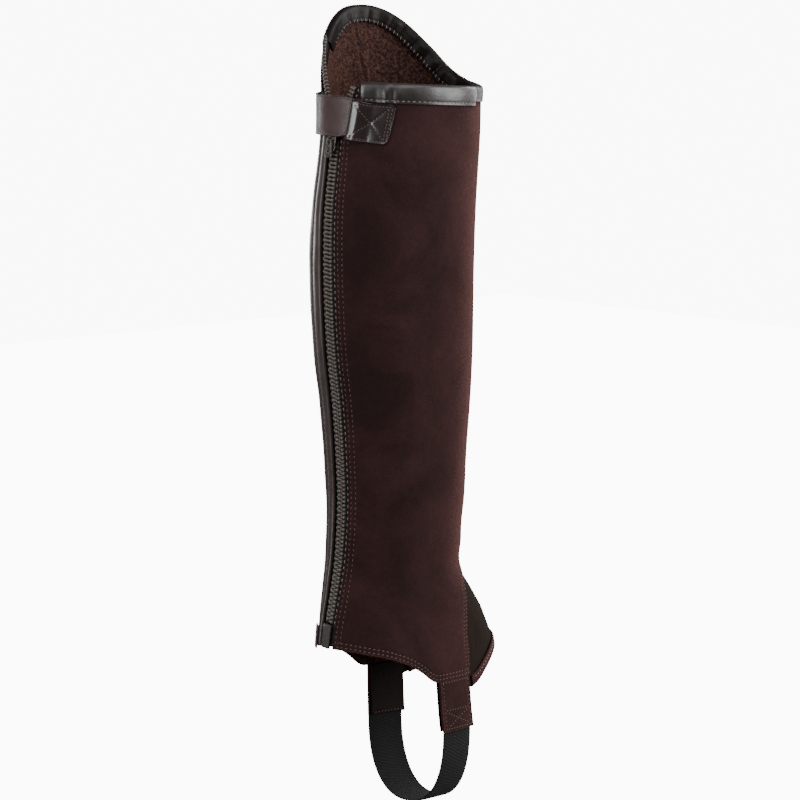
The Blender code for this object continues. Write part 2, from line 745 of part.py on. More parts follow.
def zip_slider(metal):
    """The slider: a plate over the teeth, wider at the top, with a round arch that holds the pull."""
    frame = hardware_frame("slider_frame", zip_middle(SLIDER_HEIGHT), SLIDER_HEIGHT, SLIDER_BACK_FACE)
    half_wide, half_narrow, half_long = SLIDER_WIDTH / 2, SLIDER_WIDTH / 2 - 1.6, SLIDER_LENGTH / 2
    outline = (
        arc((half_wide - 2.5, half_long - 2.5), 2.5, 0, 90, 5)
        + arc((-half_wide + 2.5, half_long - 2.5), 2.5, 90, 180, 5)
        + arc((-half_narrow + 2, -half_long + 2), 2, 180, 270, 5)
        + arc((half_narrow - 2, -half_long + 2), 2, 270, 360, 5)
    )
    plate = flat_plate("plate", [outline], SLIDER_THICKNESS)
    plate.transform(PLATE_TO_FRAME)
    plate.transform(Matrix.Translation((SLIDER_THICKNESS / 2 * MM, 0, 0)))
    body = new_object("zip_slider", plate, metal)
    body.parent = frame

    arch = bpy.data.curves.new("arch", "CURVE")
    arch.dimensions = "3D"
    arch.bevel_depth = ARCH_WIRE * MM
    arch.bevel_resolution = 2
    arch.use_fill_caps = True
    spline = arch.splines.new("POLY")
    bend = arc((0, 0), ARCH_RADIUS, -90, 90, 11)
    route = [(-2.2, bend[0][1])] + bend + [(-2.2, bend[-1][1])]
    spline.points.add(len(route) - 1)
    for point, (out, up) in zip(spline.points, route):
        point.co = ((pivot_out() + out) * MM, 0, up * MM, 1)
    wire = new_object("arch_wire", mesh_from_curve("arch_wire", arch), metal)
    CHAP.objects.unlink(wire)
    GUIDES.objects.link(wire)
    wire.parent = frame
    wire.hide_render = True
    wire.display_type = "WIRE"
    join = body.modifiers.new("Arch", "BOOLEAN")
    join.operation = "UNION"
    join.object = wire
    join.solver = "EXACT"
    return frame


def pivot_out():
    """How far the pull's axis lies from the slider's back face."""
    return SLIDER_THICKNESS + ARCH_RADIUS


def zip_pull(metal, frame):
    """The pull tab, which hangs from the slider's arch. Its origin is on the joint's axis."""
    wide, top, low, corner = PULL_HALF_WIDTH, PULL_BAR / 2, -PULL_LENGTH, 2.0
    outline = (
        [(wide, top), (-wide, top)]
        + arc((-wide, low + corner), corner, 180, 270, 5)
        + arc((wide, low + corner), corner, 270, 360, 5)
    )
    window_half, window_low = 1.5, -3.6
    window = [(window_half, -top), (window_half, window_low), (-window_half, window_low), (-window_half, -top)]
    eye_radius, eye_top, eye_low = 1.1, -6.2, -8.6
    eye = arc((0, eye_top), eye_radius, 0, 180, 7) + arc((0, eye_low), eye_radius, 180, 360, 7)
    plate = flat_plate("pull", [outline, window, eye], PULL_THICKNESS)
    plate.transform(PLATE_TO_FRAME)
    pull = new_object("zip_pull", plate, metal)
    pull.parent = frame
    pull.location = (pivot_out() * MM, 0, 0)


def strap_snap(metal):
    """The domed cap of the press stud that holds the strap's free end."""
    out = float(curve_through(STRAP_PATH, "angle", "out")(SNAP_ANGLE)) + SEAM_GAP
    frame = hardware_frame("snap_frame", SNAP_ANGLE, (STRAP_LOW + STRAP_HIGH) / 2, out)
    rim, rise = 0.8, 1.8
    dome = [(SNAP_RADIUS, 0), (SNAP_RADIUS, rim)]
    dome += [(SNAP_RADIUS * np.cos(t), rim + rise * np.sin(t)) for t in np.radians([20, 40, 60, 80])]
    points = [(0, rim + rise)] + dome[::-1] + [(0, 0)]
    mesh = bmesh.new()
    verts = [mesh.verts.new((radius * MM, 0, up * MM)) for radius, up in points]
    for a, b in zip(verts[:-1], verts[1:]):
        mesh.edges.new((a, b))
    made = bpy.data.meshes.new("strap_snap")
    mesh.to_mesh(made)
    mesh.free()
    made.transform(Matrix.Rotation(pi / 2, 4, "Y"))
    snap = new_object("strap_snap", made, metal)
    turned = snap.modifiers.new("Turn", "SCREW")
    turned.axis = "X"
    turned.steps = turned.render_steps = 20
    turned.use_merge_vertices = True
    turned.merge_threshold = 0.00005
    turned.use_normal_calculate = True
    snap.parent = frame


def build():
    suede = make_material("suede", (0.035, 0.018, 0.017), 0.95)
    leather = make_material("leather", (0.028, 0.020, 0.018), 0.35)
    felt = make_material("felt", (0.060, 0.028, 0.018), 1.0)
    webbing = make_material("webbing", (0.012, 0.012, 0.012), 0.8)
    plastic = make_material("zip_plastic", (0.030, 0.028, 0.026), 0.5)
    metal = make_material("dark_metal", (0.060, 0.055, 0.050), 0.4, 0.8)
    inner_panel(suede)
    outer_panel(suede)
    back_strip(leather)
    outer_lining(felt)
    inner_band(leather)
    outer_band(leather)
    instep_gusset(leather)
    gusset_binding(suede)
    for side in ("inner", "outer"):
        tab(side, suede)
        zip_half(side, webbing, plastic)
    elastic_strap(webbing)
    closure_strap(leather)
    strap_patch(leather)
    zip_box(plastic)
    zip_end_tab(leather)
    zip_pull(metal, zip_slider(metal))
    strap_snap(metal)


for old in list(bpy.data.objects):
    bpy.data.objects.remove(old)
CHAP = bpy.data.collections.new("half_chap")
GUIDES = bpy.data.collections.new("guides")
bpy.context.scene.collection.children.link(CHAP)
bpy.context.scene.collection.children.link(GUIDES)
build()
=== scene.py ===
# %% [markdown]
# # A riding half chap
#
# This lesson dresses the plain solids of a half chap: a suede tube that a rider zips round the lower leg.
# The solids already have the true form and size. Here each cloth and leather piece gets a finer surface,
# the zip gets its teeth and every seam its stitches. The surfaces come from the same few curves that
# shape the leg.

# %% Load the frame
from collections import namedtuple

import bmesh
import bpy
import numpy as np
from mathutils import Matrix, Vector


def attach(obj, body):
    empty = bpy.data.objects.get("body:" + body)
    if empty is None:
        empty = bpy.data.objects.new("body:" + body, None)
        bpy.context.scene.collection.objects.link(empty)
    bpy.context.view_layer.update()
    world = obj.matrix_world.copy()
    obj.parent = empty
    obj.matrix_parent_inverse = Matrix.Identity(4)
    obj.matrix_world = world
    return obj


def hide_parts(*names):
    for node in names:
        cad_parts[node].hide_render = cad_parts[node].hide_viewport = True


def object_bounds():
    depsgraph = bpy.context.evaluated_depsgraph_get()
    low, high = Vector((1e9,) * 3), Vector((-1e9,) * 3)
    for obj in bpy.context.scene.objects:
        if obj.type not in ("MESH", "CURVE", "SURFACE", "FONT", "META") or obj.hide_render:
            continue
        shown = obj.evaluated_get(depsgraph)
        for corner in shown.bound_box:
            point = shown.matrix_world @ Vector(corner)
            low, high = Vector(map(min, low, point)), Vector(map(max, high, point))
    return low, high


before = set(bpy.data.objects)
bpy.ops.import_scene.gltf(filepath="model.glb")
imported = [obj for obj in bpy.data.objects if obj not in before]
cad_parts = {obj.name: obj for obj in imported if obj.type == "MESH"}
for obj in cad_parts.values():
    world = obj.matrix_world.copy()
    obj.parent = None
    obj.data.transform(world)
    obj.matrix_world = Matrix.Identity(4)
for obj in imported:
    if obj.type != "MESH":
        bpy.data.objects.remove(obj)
CAD_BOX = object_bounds()
MM = 0.001

# %% [markdown]
# ## The camera
#
# The reference view looks at the back of the inner side, from a little above and from a long way off, so
# that upright lines stay upright. A long lens on a distant camera gives that flat perspective. The
# direction comes from two angles, and the view's width from the sensor and the lens.

# %% Camera
AZIMUTH, ELEVATION = np.radians(-42.0), np.radians(8.0)
DISTANCE = 2.7
LENS, SENSOR = 162.0, 36.0
AIM_RIGHT, AIM_UP = 0.00225, -0.10906

away = np.array([
    -np.sin(AZIMUTH) * np.cos(ELEVATION),
    np.cos(AZIMUTH) * np.cos(ELEVATION),
    -np.sin(ELEVATION),
])
right = np.array([np.cos(AZIMUTH), np.sin(AZIMUTH), 0.0])
aim = AIM_RIGHT * right + np.array([0, 0, AIM_UP])
lens = bpy.data.cameras.new("camera")
lens.lens = LENS
lens.sensor_width = SENSOR
camera = bpy.data.objects.new("camera", lens)
camera.location = Vector(aim - DISTANCE * away)
camera.rotation_euler = Vector(away).to_track_quat("-Z", "Y").to_euler()
bpy.context.scene.collection.objects.link(camera)
bpy.context.scene.camera = camera
print("the view is", round(DISTANCE * SENSOR / LENS, 3), "m wide at the chap")

# %% [markdown]
# ## The leg's surface
#
# Every piece lies on one surface: the outside of the suede. At each height the leg is two half ellipses
# that meet at its sides, and the three half widths follow smooth curves through one short table. Angles
# go round from the shin at 0: 90 is the outer side, -90 the inner side and 180 the back, where the zip
# is.

# %% Smooth curves through short tables
def curve_through(table, across, value):
    """A smooth function through a table's rows: a cubic on each interval, with the rows' mean slopes."""
    knots = np.array([getattr(row, across) for row in table], float)
    values = np.array([getattr(row, value) for row in table], float)
    slopes = np.gradient(values, knots)
    flat = np.diff(values) == 0
    slopes[:-1][flat] = 0
    slopes[1:][flat] = 0

    def at(x):
        x = np.clip(x, knots[0], knots[-1])
        i = np.clip(np.searchsorted(knots, x) - 1, 0, len(knots) - 2)
        width = knots[i + 1] - knots[i]
        s = (x - knots[i]) / width
        start = values[i] * (1 + 2 * s) * (1 - s) ** 2 + slopes[i] * width * s * (1 - s) ** 2
        end = values[i + 1] * s**2 * (3 - 2 * s) + slopes[i + 1] * width * s**2 * (s - 1)
        return start + end

    return at


# %% The leg's sections, in mm
Section = namedtuple("Section", "height back front side")
LEG = [
    Section(-365, 69, 96, 43),
    Section(-330, 69, 96, 43),
    Section(-304, 69, 95, 43),
    Section(-288, 68.5, 89.5, 43),
    Section(-274, 66.6, 82, 43.4),
    Section(-262, 64.4, 73.5, 44.2),
    Section(-250, 62, 64, 45),
    Section(-240, 60.2, 55.5, 45.7),
    Section(-231, 58.6, 48.2, 46.2),
    Section(-212, 56.5, 48.3, 47.5),
    Section(-182, 55, 51.9, 49.8),
    Section(-145, 57, 53.9, 51.7),
    Section(-109, 60.4, 56, 54),
    Section(-72, 65.2, 56.6, 56.4),
    Section(-30, 68, 56.1, 59),
    Section(0, 68.2, 56.4, 60),
    Section(27, 66.5, 57.6, 59.8),
    Section(45, 64.3, 59.4, 59),
    Section(64, 61, 61.9, 58),
    Section(88, 57.2, 65.2, 57),
    Section(134, 57, 67.9, 56),
    Section(200, 56, 69, 55.5),
]
back_reach = curve_through(LEG, "height", "back")
front_reach = curve_through(LEG, "height", "front")
side_reach = curve_through(LEG, "height", "side")


def leg_surface(angle, height):
    """A point of the suede's outside: x = reach cos(angle), y = side sin(angle), z = height."""
    turn = np.radians(angle)
    reach = np.where(np.cos(turn) >= 0, front_reach(height), back_reach(height))
    across = side_reach(height) * np.sin(turn)
    return np.stack(np.broadcast_arrays(reach * np.cos(turn), across, height), axis=-1)


def unit(vectors):
    """Vectors scaled to length 1."""
    return vectors / np.maximum(np.linalg.norm(vectors, axis=-1, keepdims=True), 1e-12)


def running_length(points):
    """The length of a line of points up to each of them."""
    return np.cumsum(np.linalg.norm(np.diff(points, axis=0, prepend=points[:1]), axis=-1))


def leg_normal(angle, height):
    """The outward normal: the cross product of one degree's step round the leg and one mm's step up."""
    around = leg_surface(angle + 0.5, height) - leg_surface(angle - 0.5, height)
    up = leg_surface(angle, height + 0.5) - leg_surface(angle, height - 0.5)
    return unit(np.cross(around, up))


def on_leg(angle, height, out=0.0):
    """Points at these angles and heights, moved out along the normal."""
    angle, height, out = np.broadcast_arrays(*(np.asarray(v, float) for v in (angle, height, out)))
    return leg_surface(angle, height) + out[..., None] * leg_normal(angle, height)


def mm_per_degree(angle, height):
    """How long one degree round the leg is, in mm."""
    step = leg_surface(np.asarray(angle) + 0.5, height) - leg_surface(np.asarray(angle) - 0.5, height)
    return np.linalg.norm(step, axis=-1)


ring = leg_surface(np.linspace(-180, 180, 721), 0.0)
print("the calf measures", round(np.linalg.norm(np.diff(ring, axis=0), axis=1).sum()), "mm round")

# %% [markdown]
# ## The pattern's edges
#
# A maker cuts the panels along a few curves: the top edge, the hem, the seam of the instep gusset and the
# line of the zip. The tables give each curve as heights against angles, or angles against heights.

# %% Edges, in degrees and mm
TopEdge = namedtuple("TopEdge", "angle height")
TOP_EDGE = [
    TopEdge(-175, 130.5),
    TopEdge(-150, 130),
    TopEdge(-104, 128),
    TopEdge(-60, 125.2),
    TopEdge(-38, 124.4),
    TopEdge(-20, 125.2),
    TopEdge(-3, 127.7),
    TopEdge(13, 135),
    TopEdge(32, 153),
    TopEdge(51, 171),
    TopEdge(62, 178.2),
    TopEdge(73, 182.2),
    TopEdge(84, 183),
    TopEdge(95, 181),
    TopEdge(106, 175),
    TopEdge(118, 164.5),
    TopEdge(128, 152),
    TopEdge(137, 139),
    TopEdge(144.5, 127),
    TopEdge(151, 116),
    TopEdge(157, 105),
    TopEdge(162, 95),
    TopEdge(166, 85),
]
Hem = namedtuple("Hem", "angle height")
HEM = [
    Hem(60, -319.5),
    Hem(74, -319.5),
    Hem(87, -319.5),
    Hem(92, -317),
    Hem(99, -310.5),
    Hem(108, -304),
    Hem(117, -299.5),
    Hem(128, -295.5),
    Hem(140, -293),
    Hem(156, -290.5),
    Hem(176, -289.5),
]
GUSSET_SIDE = 65.5
GUSSET_LAP = 3.0
GussetSeam = namedtuple("GussetSeam", "height angle")
GUSSET_SEAM = [
    GussetSeam(-330, GUSSET_SIDE),
    GussetSeam(-292, GUSSET_SIDE),
    GussetSeam(-275, 63),
    GussetSeam(-252, 56),
    GussetSeam(-238, 50),
    GussetSeam(-224, 38),
    GussetSeam(-212, 22),
    GussetSeam(-202, 3),
]
GussetHem = namedtuple("GussetHem", "angle height")
GUSSET_HEM = [
    GussetHem(0, -302),
    GussetHem(20, -304),
    GussetHem(35, -309.5),
    GussetHem(46, -316.5),
    GussetHem(57, -325.5),
    GussetHem(GUSSET_SIDE, -329.5),
]
ZipMiddle = namedtuple("ZipMiddle", "height angle")
ZIP_MIDDLE = [
    ZipMiddle(-292, 172.4),
    ZipMiddle(-280, 172.9),
    ZipMiddle(-240, 175.4),
    ZipMiddle(-200, 176.6),
    ZipMiddle(-150, 177.8),
    ZipMiddle(-100, 178.8),
    ZipMiddle(-50, 178.8),
    ZipMiddle(0, 178),
    ZipMiddle(30, 176.4),
    ZipMiddle(60, 174.6),
    ZipMiddle(90, 173.5),
    ZipMiddle(200, 173.5),
]
SLIDER_HEIGHT = 87.5
ZipOpening = namedtuple("ZipOpening", "height turn")
ZIP_OPENING = [
    ZipOpening(-300, 0),
    ZipOpening(SLIDER_HEIGHT, 0),
    ZipOpening(97, 2),
    ZipOpening(106, 6),
    ZipOpening(115, 11),
    ZipOpening(124, 16),
    ZipOpening(133, 19.5),
]
ZipLine = namedtuple("ZipLine", "angle height")
OUTER_ZIP_END = [
    ZipLine(171, 99),
    ZipLine(166, 109.5),
    ZipLine(160, 120.5),
    ZipLine(153.5, 132),
    ZipLine(146, 144),
    ZipLine(137.5, 156),
    ZipLine(131.5, 163),
]
top_height = curve_through(TOP_EDGE, "angle", "height")
hem_height = curve_through(HEM, "angle", "height")
gusset_angle = curve_through(GUSSET_SEAM, "height", "angle")
gusset_hem = curve_through(GUSSET_HEM, "angle", "height")
zip_middle = curve_through(ZIP_MIDDLE, "height", "angle")
zip_opening = curve_through(ZIP_OPENING, "height", "turn")

# %% Layers, in mm
SEAM_GAP = 0.3
SUEDE = 2.0
LINING = 0.9
TAPE = 0.8
LEATHER = 1.2
UNDER_SUEDE = -(SUEDE + SEAM_GAP)
TO_INNER_PANEL = 9.4
TO_STRIP = 8.2
STRIP_FROM = 147.0


def front_edge(height):
    """Where a side panel stops at the front: beside the shin, or at the gusset's seam."""
    return np.where(height < GUSSET_SEAM[-1].height, gusset_angle(height), SEAM_GAP)


def inner_edge(height):
    """How far round the inner side the suede stops beside the zip, as a positive angle."""
    closed = 360 - zip_middle(height) - np.degrees(TO_INNER_PANEL / side_reach(height))
    return closed - zip_opening(height)


def strip_edge(height):
    """The angle of the leather strip's edge beside the zip."""
    return zip_middle(height) - np.degrees(TO_STRIP / side_reach(height))


print("the zip runs from", HEM[-1].height, "to", OUTER_ZIP_END[-1].height, "mm")

# %% [markdown]
# ## From arrays to meshes
#
# A piece of cloth is a grid of points on its outer face. The inner face is the same grid moved in by the
# cloth's thickness, and a half round rim joins the two, so each piece is one closed wall with a soft
# edge. Working on whole arrays keeps this short: no loop visits a single vertex.

# %% Mesh helpers
def quads(rows, columns, first=0):
    """The faces of a grid of vertices, as four index arrays side by side."""
    i = first + np.arange(rows * columns).reshape(rows, columns)
    return np.stack([i[:-1, :-1], i[:-1, 1:], i[1:, 1:], i[1:, :-1]], axis=-1).reshape(-1, 4)


def make_mesh(name, points, faces, uv=None):
    """A smooth mesh object from points in mm, quads and one (u, v) pair in mm for each point."""
    mesh = bpy.data.meshes.new(name)
    mesh.from_pydata((points * MM).tolist(), [], faces.tolist())
    if uv is not None:
        layer = mesh.uv_layers.new(name="cloth")
        corners = np.empty(len(mesh.loops), int)
        mesh.loops.foreach_get("vertex_index", corners)
        layer.data.foreach_set("uv", (uv[corners] * MM).astype(np.float32).ravel())
    mesh.shade_smooth()
    mesh.validate()
    obj = bpy.data.objects.new(name, mesh)
    bpy.context.scene.collection.objects.link(obj)
    return obj


def grid_normals(grid):
    """Normals of a grid of points: the cross product of its steps along the columns and along the rows."""
    return unit(np.cross(np.gradient(grid, axis=1), np.gradient(grid, axis=0)))


def grid_uv(grid):
    """Arc lengths in mm across and up a grid, as the cloth was cut."""
    across = np.cumsum(np.linalg.norm(np.diff(grid, axis=1, prepend=grid[:, :1]), axis=-1), axis=1)
    up = np.cumsum(np.linalg.norm(np.diff(grid, axis=0, prepend=grid[:1]), axis=-1), axis=0)
    return np.stack([across - across[:, -1:] / 2, up], axis=-1)


RIM_FULLNESS, RIM_STEPS = 0.8, 5


def cloth_wall(name, grid, thickness, uv=None):
    """A closed wall under a grid of outer points, and the area of its outer face in square mm.

    With n the normal and d the way out of the cloth at its edge, the rim is the half ellipse
    centre + thickness/2 cos(t) n + r sin(t) d, where r is the rim's fullness times half the thickness.
    """
    rows, columns = grid.shape[:2]
    normal = grid_normals(grid)
    outward = np.zeros_like(grid)
    outward[0] += unit(grid[0] - grid[1])
    outward[-1] += unit(grid[-1] - grid[-2])
    outward[:, 0] += unit(grid[:, 0] - grid[:, 1])
    outward[:, -1] += unit(grid[:, -1] - grid[:, -2])
    radius = RIM_FULLNESS * thickness / 2
    outer = grid - outward * radius
    inner = outer - normal * thickness
    index = np.arange(rows * columns).reshape(rows, columns)
    loop = np.concatenate([index[0, :-1], index[:-1, -1], index[-1, :0:-1], index[:0:-1, 0]])
    turn = np.linspace(0, np.pi, RIM_STEPS + 2)[1:-1, None, None]
    middle = (outer - normal * thickness / 2).reshape(-1, 3)[loop]
    lean = normal.reshape(-1, 3)[loop] * thickness / 2
    bulge = outward.reshape(-1, 3)[loop] * radius
    rings = middle + lean * np.cos(turn) + bulge * np.sin(turn)
    points = np.concatenate([outer.reshape(-1, 3), inner.reshape(-1, 3), rings.reshape(-1, 3)])
    first = 2 * rows * columns
    chain = [loop] + [first + k * len(loop) + np.arange(len(loop)) for k in range(RIM_STEPS)]
    chain.append(loop + rows * columns)
    rim_faces = [
        np.stack([b, np.roll(b, -1), np.roll(a, -1), a], axis=-1) for a, b in zip(chain[:-1], chain[1:])
    ]
    faces = np.concatenate([
        quads(rows, columns),
        quads(rows, columns, rows * columns)[:, ::-1],
        *rim_faces,
    ])
    uv = (grid_uv(grid) if uv is None else uv).reshape(-1, 2)
    obj = make_mesh(name, points, faces, np.concatenate([uv, uv, np.tile(uv[loop], (RIM_STEPS, 1))]))
    area = np.linalg.norm(np.cross(np.gradient(grid, axis=1), np.gradient(grid, axis=0)), axis=-1).sum()
    return obj, area


def tube_faces(steps, around):
    """The side faces of a tube through rings of points, as four index arrays side by side."""
    index = np.arange(steps * around).reshape(steps, around)
    here, there = index[:-1], index[1:]
    corners = [here, np.roll(here, -1, axis=1), np.roll(there, -1, axis=1), there]
    return np.stack(corners, axis=-1).reshape(-1, 4)


def capped_tube(steps, around):
    """The faces of a small tube whose two ends are shut by fans of quads."""
    index = np.arange(steps * around).reshape(steps, around)
    fan = np.array([[0, k, k + 1, k + 2] for k in range(1, around - 2, 2)])
    return np.concatenate([tube_faces(steps, around), index[0][fan[:, ::-1]], index[-1][fan]])


def copies(one, count, points):
    """The faces of many copies of a small body that has this many points."""
    return (one[None] + points * np.arange(count)[:, None, None]).reshape(-1, 4)


def loft(name, rings):
    """A closed solid through rings of points, with both ends filled."""
    along, girth = running_length(rings.mean(axis=1)), running_length(rings[0])
    uv = np.stack(np.broadcast_arrays(girth[None, :], along[:, None]), axis=-1).reshape(-1, 2)
    obj = make_mesh(name, rings.reshape(-1, 3), tube_faces(*rings.shape[:2]), uv)
    close_ends(obj)
    return obj


def close_ends(obj):
    """Fill each open end of a loft, and turn all faces outwards."""
    mesh = bmesh.new()
    mesh.from_mesh(obj.data)
    bmesh.ops.holes_fill(mesh, edges=[edge for edge in mesh.edges if edge.is_boundary], sides=0)
    bmesh.ops.recalc_face_normals(mesh, faces=mesh.faces)
    for face in mesh.faces:
        face.smooth = len(face.verts) < 5
    mesh.to_mesh(obj.data)
    mesh.free()


def graded(count, first=0.0, last=0.0, reach=0.06):
    """Shares from 0 to 1 that lie closer together near the ends: the inverse of a density's running sum."""
    s = np.linspace(0, 1, 2001)
    density = 1 + first * np.exp(-s / reach) + last * np.exp(-(1 - s) / reach)
    running = np.concatenate([[0], np.cumsum((density[1:] + density[:-1]) / 2)])
    return np.interp(np.linspace(0, 1, count), running / running[-1], s)


def channel(distance, depth=0.35, width=1.1):
    """The dent that a tight seam pulls in the cloth: a bell curve of the distance from it."""
    return -depth * np.exp(-((distance / width) ** 2))


print("a grid of 3 by 3 points has", len(quads(3, 3)), "faces")

# %% [markdown]
# ## Stitches
#
# A lockstitch shows as a row of short threads that dip into the cloth at both ends. One stitch is a grain
# of rice bent over its seam. All stitches of a row are made at once: the grain's ring points are
# multiplied by each stitch's own direction, side and normal, and the copies are joined into one mesh.

# %% Rows of stitches
THREAD = 0.8
STITCH_RINGS, STITCH_SIDES = 7, 6
LONG_PITCH, HEM_PITCH, FINE_PITCH = 3.9, 3.5, 3.1


def even_steps(points, normals, pitch):
    """Places, directions and normals at even steps of about one pitch along a line."""
    length = running_length(points)
    count = max(2, int(round(length[-1] / pitch)))
    at = (np.arange(count) + 0.5) * length[-1] / count
    place = np.stack([np.interp(at, length, points[:, k]) for k in range(3)], axis=-1)
    ahead = np.stack([np.interp(at + 0.2, length, points[:, k]) for k in range(3)], axis=-1)
    behind = np.stack([np.interp(at - 0.2, length, points[:, k]) for k in range(3)], axis=-1)
    normal = unit(np.stack([np.interp(at, length, normals[:, k]) for k in range(3)], axis=-1))
    return place, unit(ahead - behind), normal, length[-1] / count


def stitches(place, ahead, normal, length, thread=THREAD, lift=0.15, slant=0.12):
    """The points of stitches at these places: an array of stitches, rings and sides.

    Along its length s from -1 to 1, a stitch has the radius thread/2 sqrt(1 - s^4) and stands
    lift (1 - 2 s^2) above the cloth. slant turns each stitch a little out of the row.
    """
    side = unit(np.cross(normal, ahead))
    s = np.linspace(-1, 1, STITCH_RINGS)
    turn = np.linspace(0, 2 * np.pi, STITCH_SIDES, endpoint=False)
    radius = thread / 2 * np.sqrt(np.clip(1 - s**4, 0.02, 1))
    run = s * length / 2
    up = lift * (1 - 2 * s**2)
    x = np.broadcast_to(run[:, None], (len(s), len(turn)))
    y = radius[:, None] * np.cos(turn) + slant * run[:, None]
    z = radius[:, None] * np.sin(turn) + up[:, None]
    local = np.stack([x, y, z], axis=-1)
    axes = np.stack([ahead, side, normal], axis=1)
    return place[:, None, None, :] + np.einsum("rsk,nkc->nrsc", local, axes)


def stitch_row(points, normals, pitch=3.6, fill=0.52, thread=THREAD):
    """A row of stitches, each as long as fill times their pitch."""
    place, ahead, normal, step = even_steps(points, normals, pitch)
    return stitches(place, ahead, normal, fill * step, thread)


def sew(name, rows):
    """One mesh of many stitch rows: capped tubes of rings."""
    rings = np.concatenate(rows)
    print(name, "has", len(rings), "stitches")
    one = capped_tube(STITCH_RINGS, STITCH_SIDES)
    return make_mesh(name, rings.reshape(-1, 3), copies(one, len(rings), STITCH_RINGS * STITCH_SIDES))


def seam(angle, height, out):
    """The points and normals of a line on the leg, for a row of stitches."""
    return on_leg(angle, height, out), leg_normal(angle, np.asarray(height, float) + 0 * np.asarray(angle))


SewnLine = namedtuple("SewnLine", "from_share from_rise to_share to_rise")


def along_seam(line, steps):
    """Shares across and up a piece at even steps along one of its sewn lines."""
    t = np.linspace(0, 1, steps)
    share = line.from_share + (line.to_share - line.from_share) * t
    return share, line.from_rise + (line.to_rise - line.from_rise) * t


def seam_dents(lines, box, share, rise, depth):
    """Dents along a piece's sewn lines: on a box of this many mm, bell curves of the distance to each."""
    wide, tall = box
    out = 0 * share * rise
    for line in lines:
        start = np.array([line.from_share * wide, line.from_rise * tall])
        way = np.array([(line.to_share - line.from_share) * wide, (line.to_rise - line.from_rise) * tall])
        along = ((share * wide - start[0]) * way[0] + (rise * tall - start[1]) * way[1]) / (way @ way)
        along = np.clip(along, 0, 1)
        off = np.hypot(share * wide - start[0] - along * way[0], rise * tall - start[1] - along * way[1])
        out = out + channel(off, depth, 0.9)
    return out


# %% [markdown]
# ## Materials
#
# Colours are written as they look on a screen and turned to linear light by one function. One small
# helper adds a node with its settings and links, and four more use it for what every pattern needs:
# noise, a stretched range, a mix of two colours and a bump. All patterns read Object coordinates or the
# cloth's own map, which is in metres, so a scale of 1000 means one millimetre.

# %% Colour and node helpers
def linear(hex_code):
    """Linear light from an sRGB hex colour."""
    shown = np.array([int(hex_code[i:i + 2], 16) for i in (1, 3, 5)]) / 255
    light = np.where(shown <= 0.04045, shown / 12.92, ((shown + 0.055) / 1.055) ** 2.4)
    return (*light.tolist(), 1.0)


def add(material, kind, settings=None, inputs=None):
    """Add a node. settings are its properties, inputs its sockets' values or what feeds them."""
    node = material.node_tree.nodes.new(kind)
    for key, value in (settings or {}).items():
        setattr(node, key, value)
    for key, value in (inputs or {}).items():
        if isinstance(value, bpy.types.NodeSocket):
            material.node_tree.links.new(value, node.inputs[key])
        else:
            node.inputs[key].default_value = value
    return node


def start_material(name, **values):
    """A Principled material with constant values on the shader's own sockets."""
    material = bpy.data.materials.new(name)
    material.use_nodes = True
    shader = material.node_tree.nodes["Principled BSDF"]
    for key, value in values.items():
        shader.inputs[key.replace("_", " ")].default_value = value
    return material, shader


def feed(material, shader, **sockets):
    """Link pattern outputs to the shader."""
    for key, socket in sockets.items():
        material.node_tree.links.new(socket, shader.inputs[key.replace("_", " ")])


MIX_FACTOR, MIX_A, MIX_B, MIX_OUT = 0, 6, 7, 2


def size(mm):
    """The noise scale whose features are about this many mm across."""
    return 1 / (mm * MM)


def noise(material, place, mm, detail, roughness=0.5, distortion=0.0):
    """Noise with features of about this many mm."""
    return add(material, "ShaderNodeTexNoise", None, {
        "Vector": place, "Scale": size(mm), "Detail": detail, "Roughness": roughness,
        "Distortion": distortion,
    }).outputs["Fac"]


def stretch(material, value, low, high, to_low=0.0, to_high=1.0):
    """The values from low to high, stretched over another range and held at its ends."""
    return add(material, "ShaderNodeMapRange", None, {
        "Value": value, "From Min": low, "From Max": high, "To Min": to_low, "To Max": to_high,
    }).outputs["Result"]


def blend(material, factor, first, second, kind="MIX"):
    """Two colours mixed by a factor. A colour is a hex code or a socket."""
    first, second = (linear(c) if isinstance(c, str) else c for c in (first, second))
    return add(material, "ShaderNodeMix", {"data_type": "RGBA", "blend_type": kind}, {
        MIX_FACTOR: factor, MIX_A: first, MIX_B: second,
    }).outputs[MIX_OUT]


def bump(material, height, strength, distance, normal=None):
    """A pattern's height as a change of the normal, on top of another change where there is one."""
    inputs = {"Height": height, "Strength": strength, "Distance": distance}
    if normal is not None:
        inputs["Normal"] = normal
    return add(material, "ShaderNodeBump", None, inputs).outputs["Normal"]


# %% [markdown]
# ### Suede
#
# Suede is the flesh side of the hide, brushed up to a short nap. It scatters light with no gloss, and
# where it is seen edge on the fibres catch the light: a pale pinkish rim, which the shader's sheen gives.
# The nap lies in patches, lighter where it was stroked one way and darker the other, over a fine mottle.

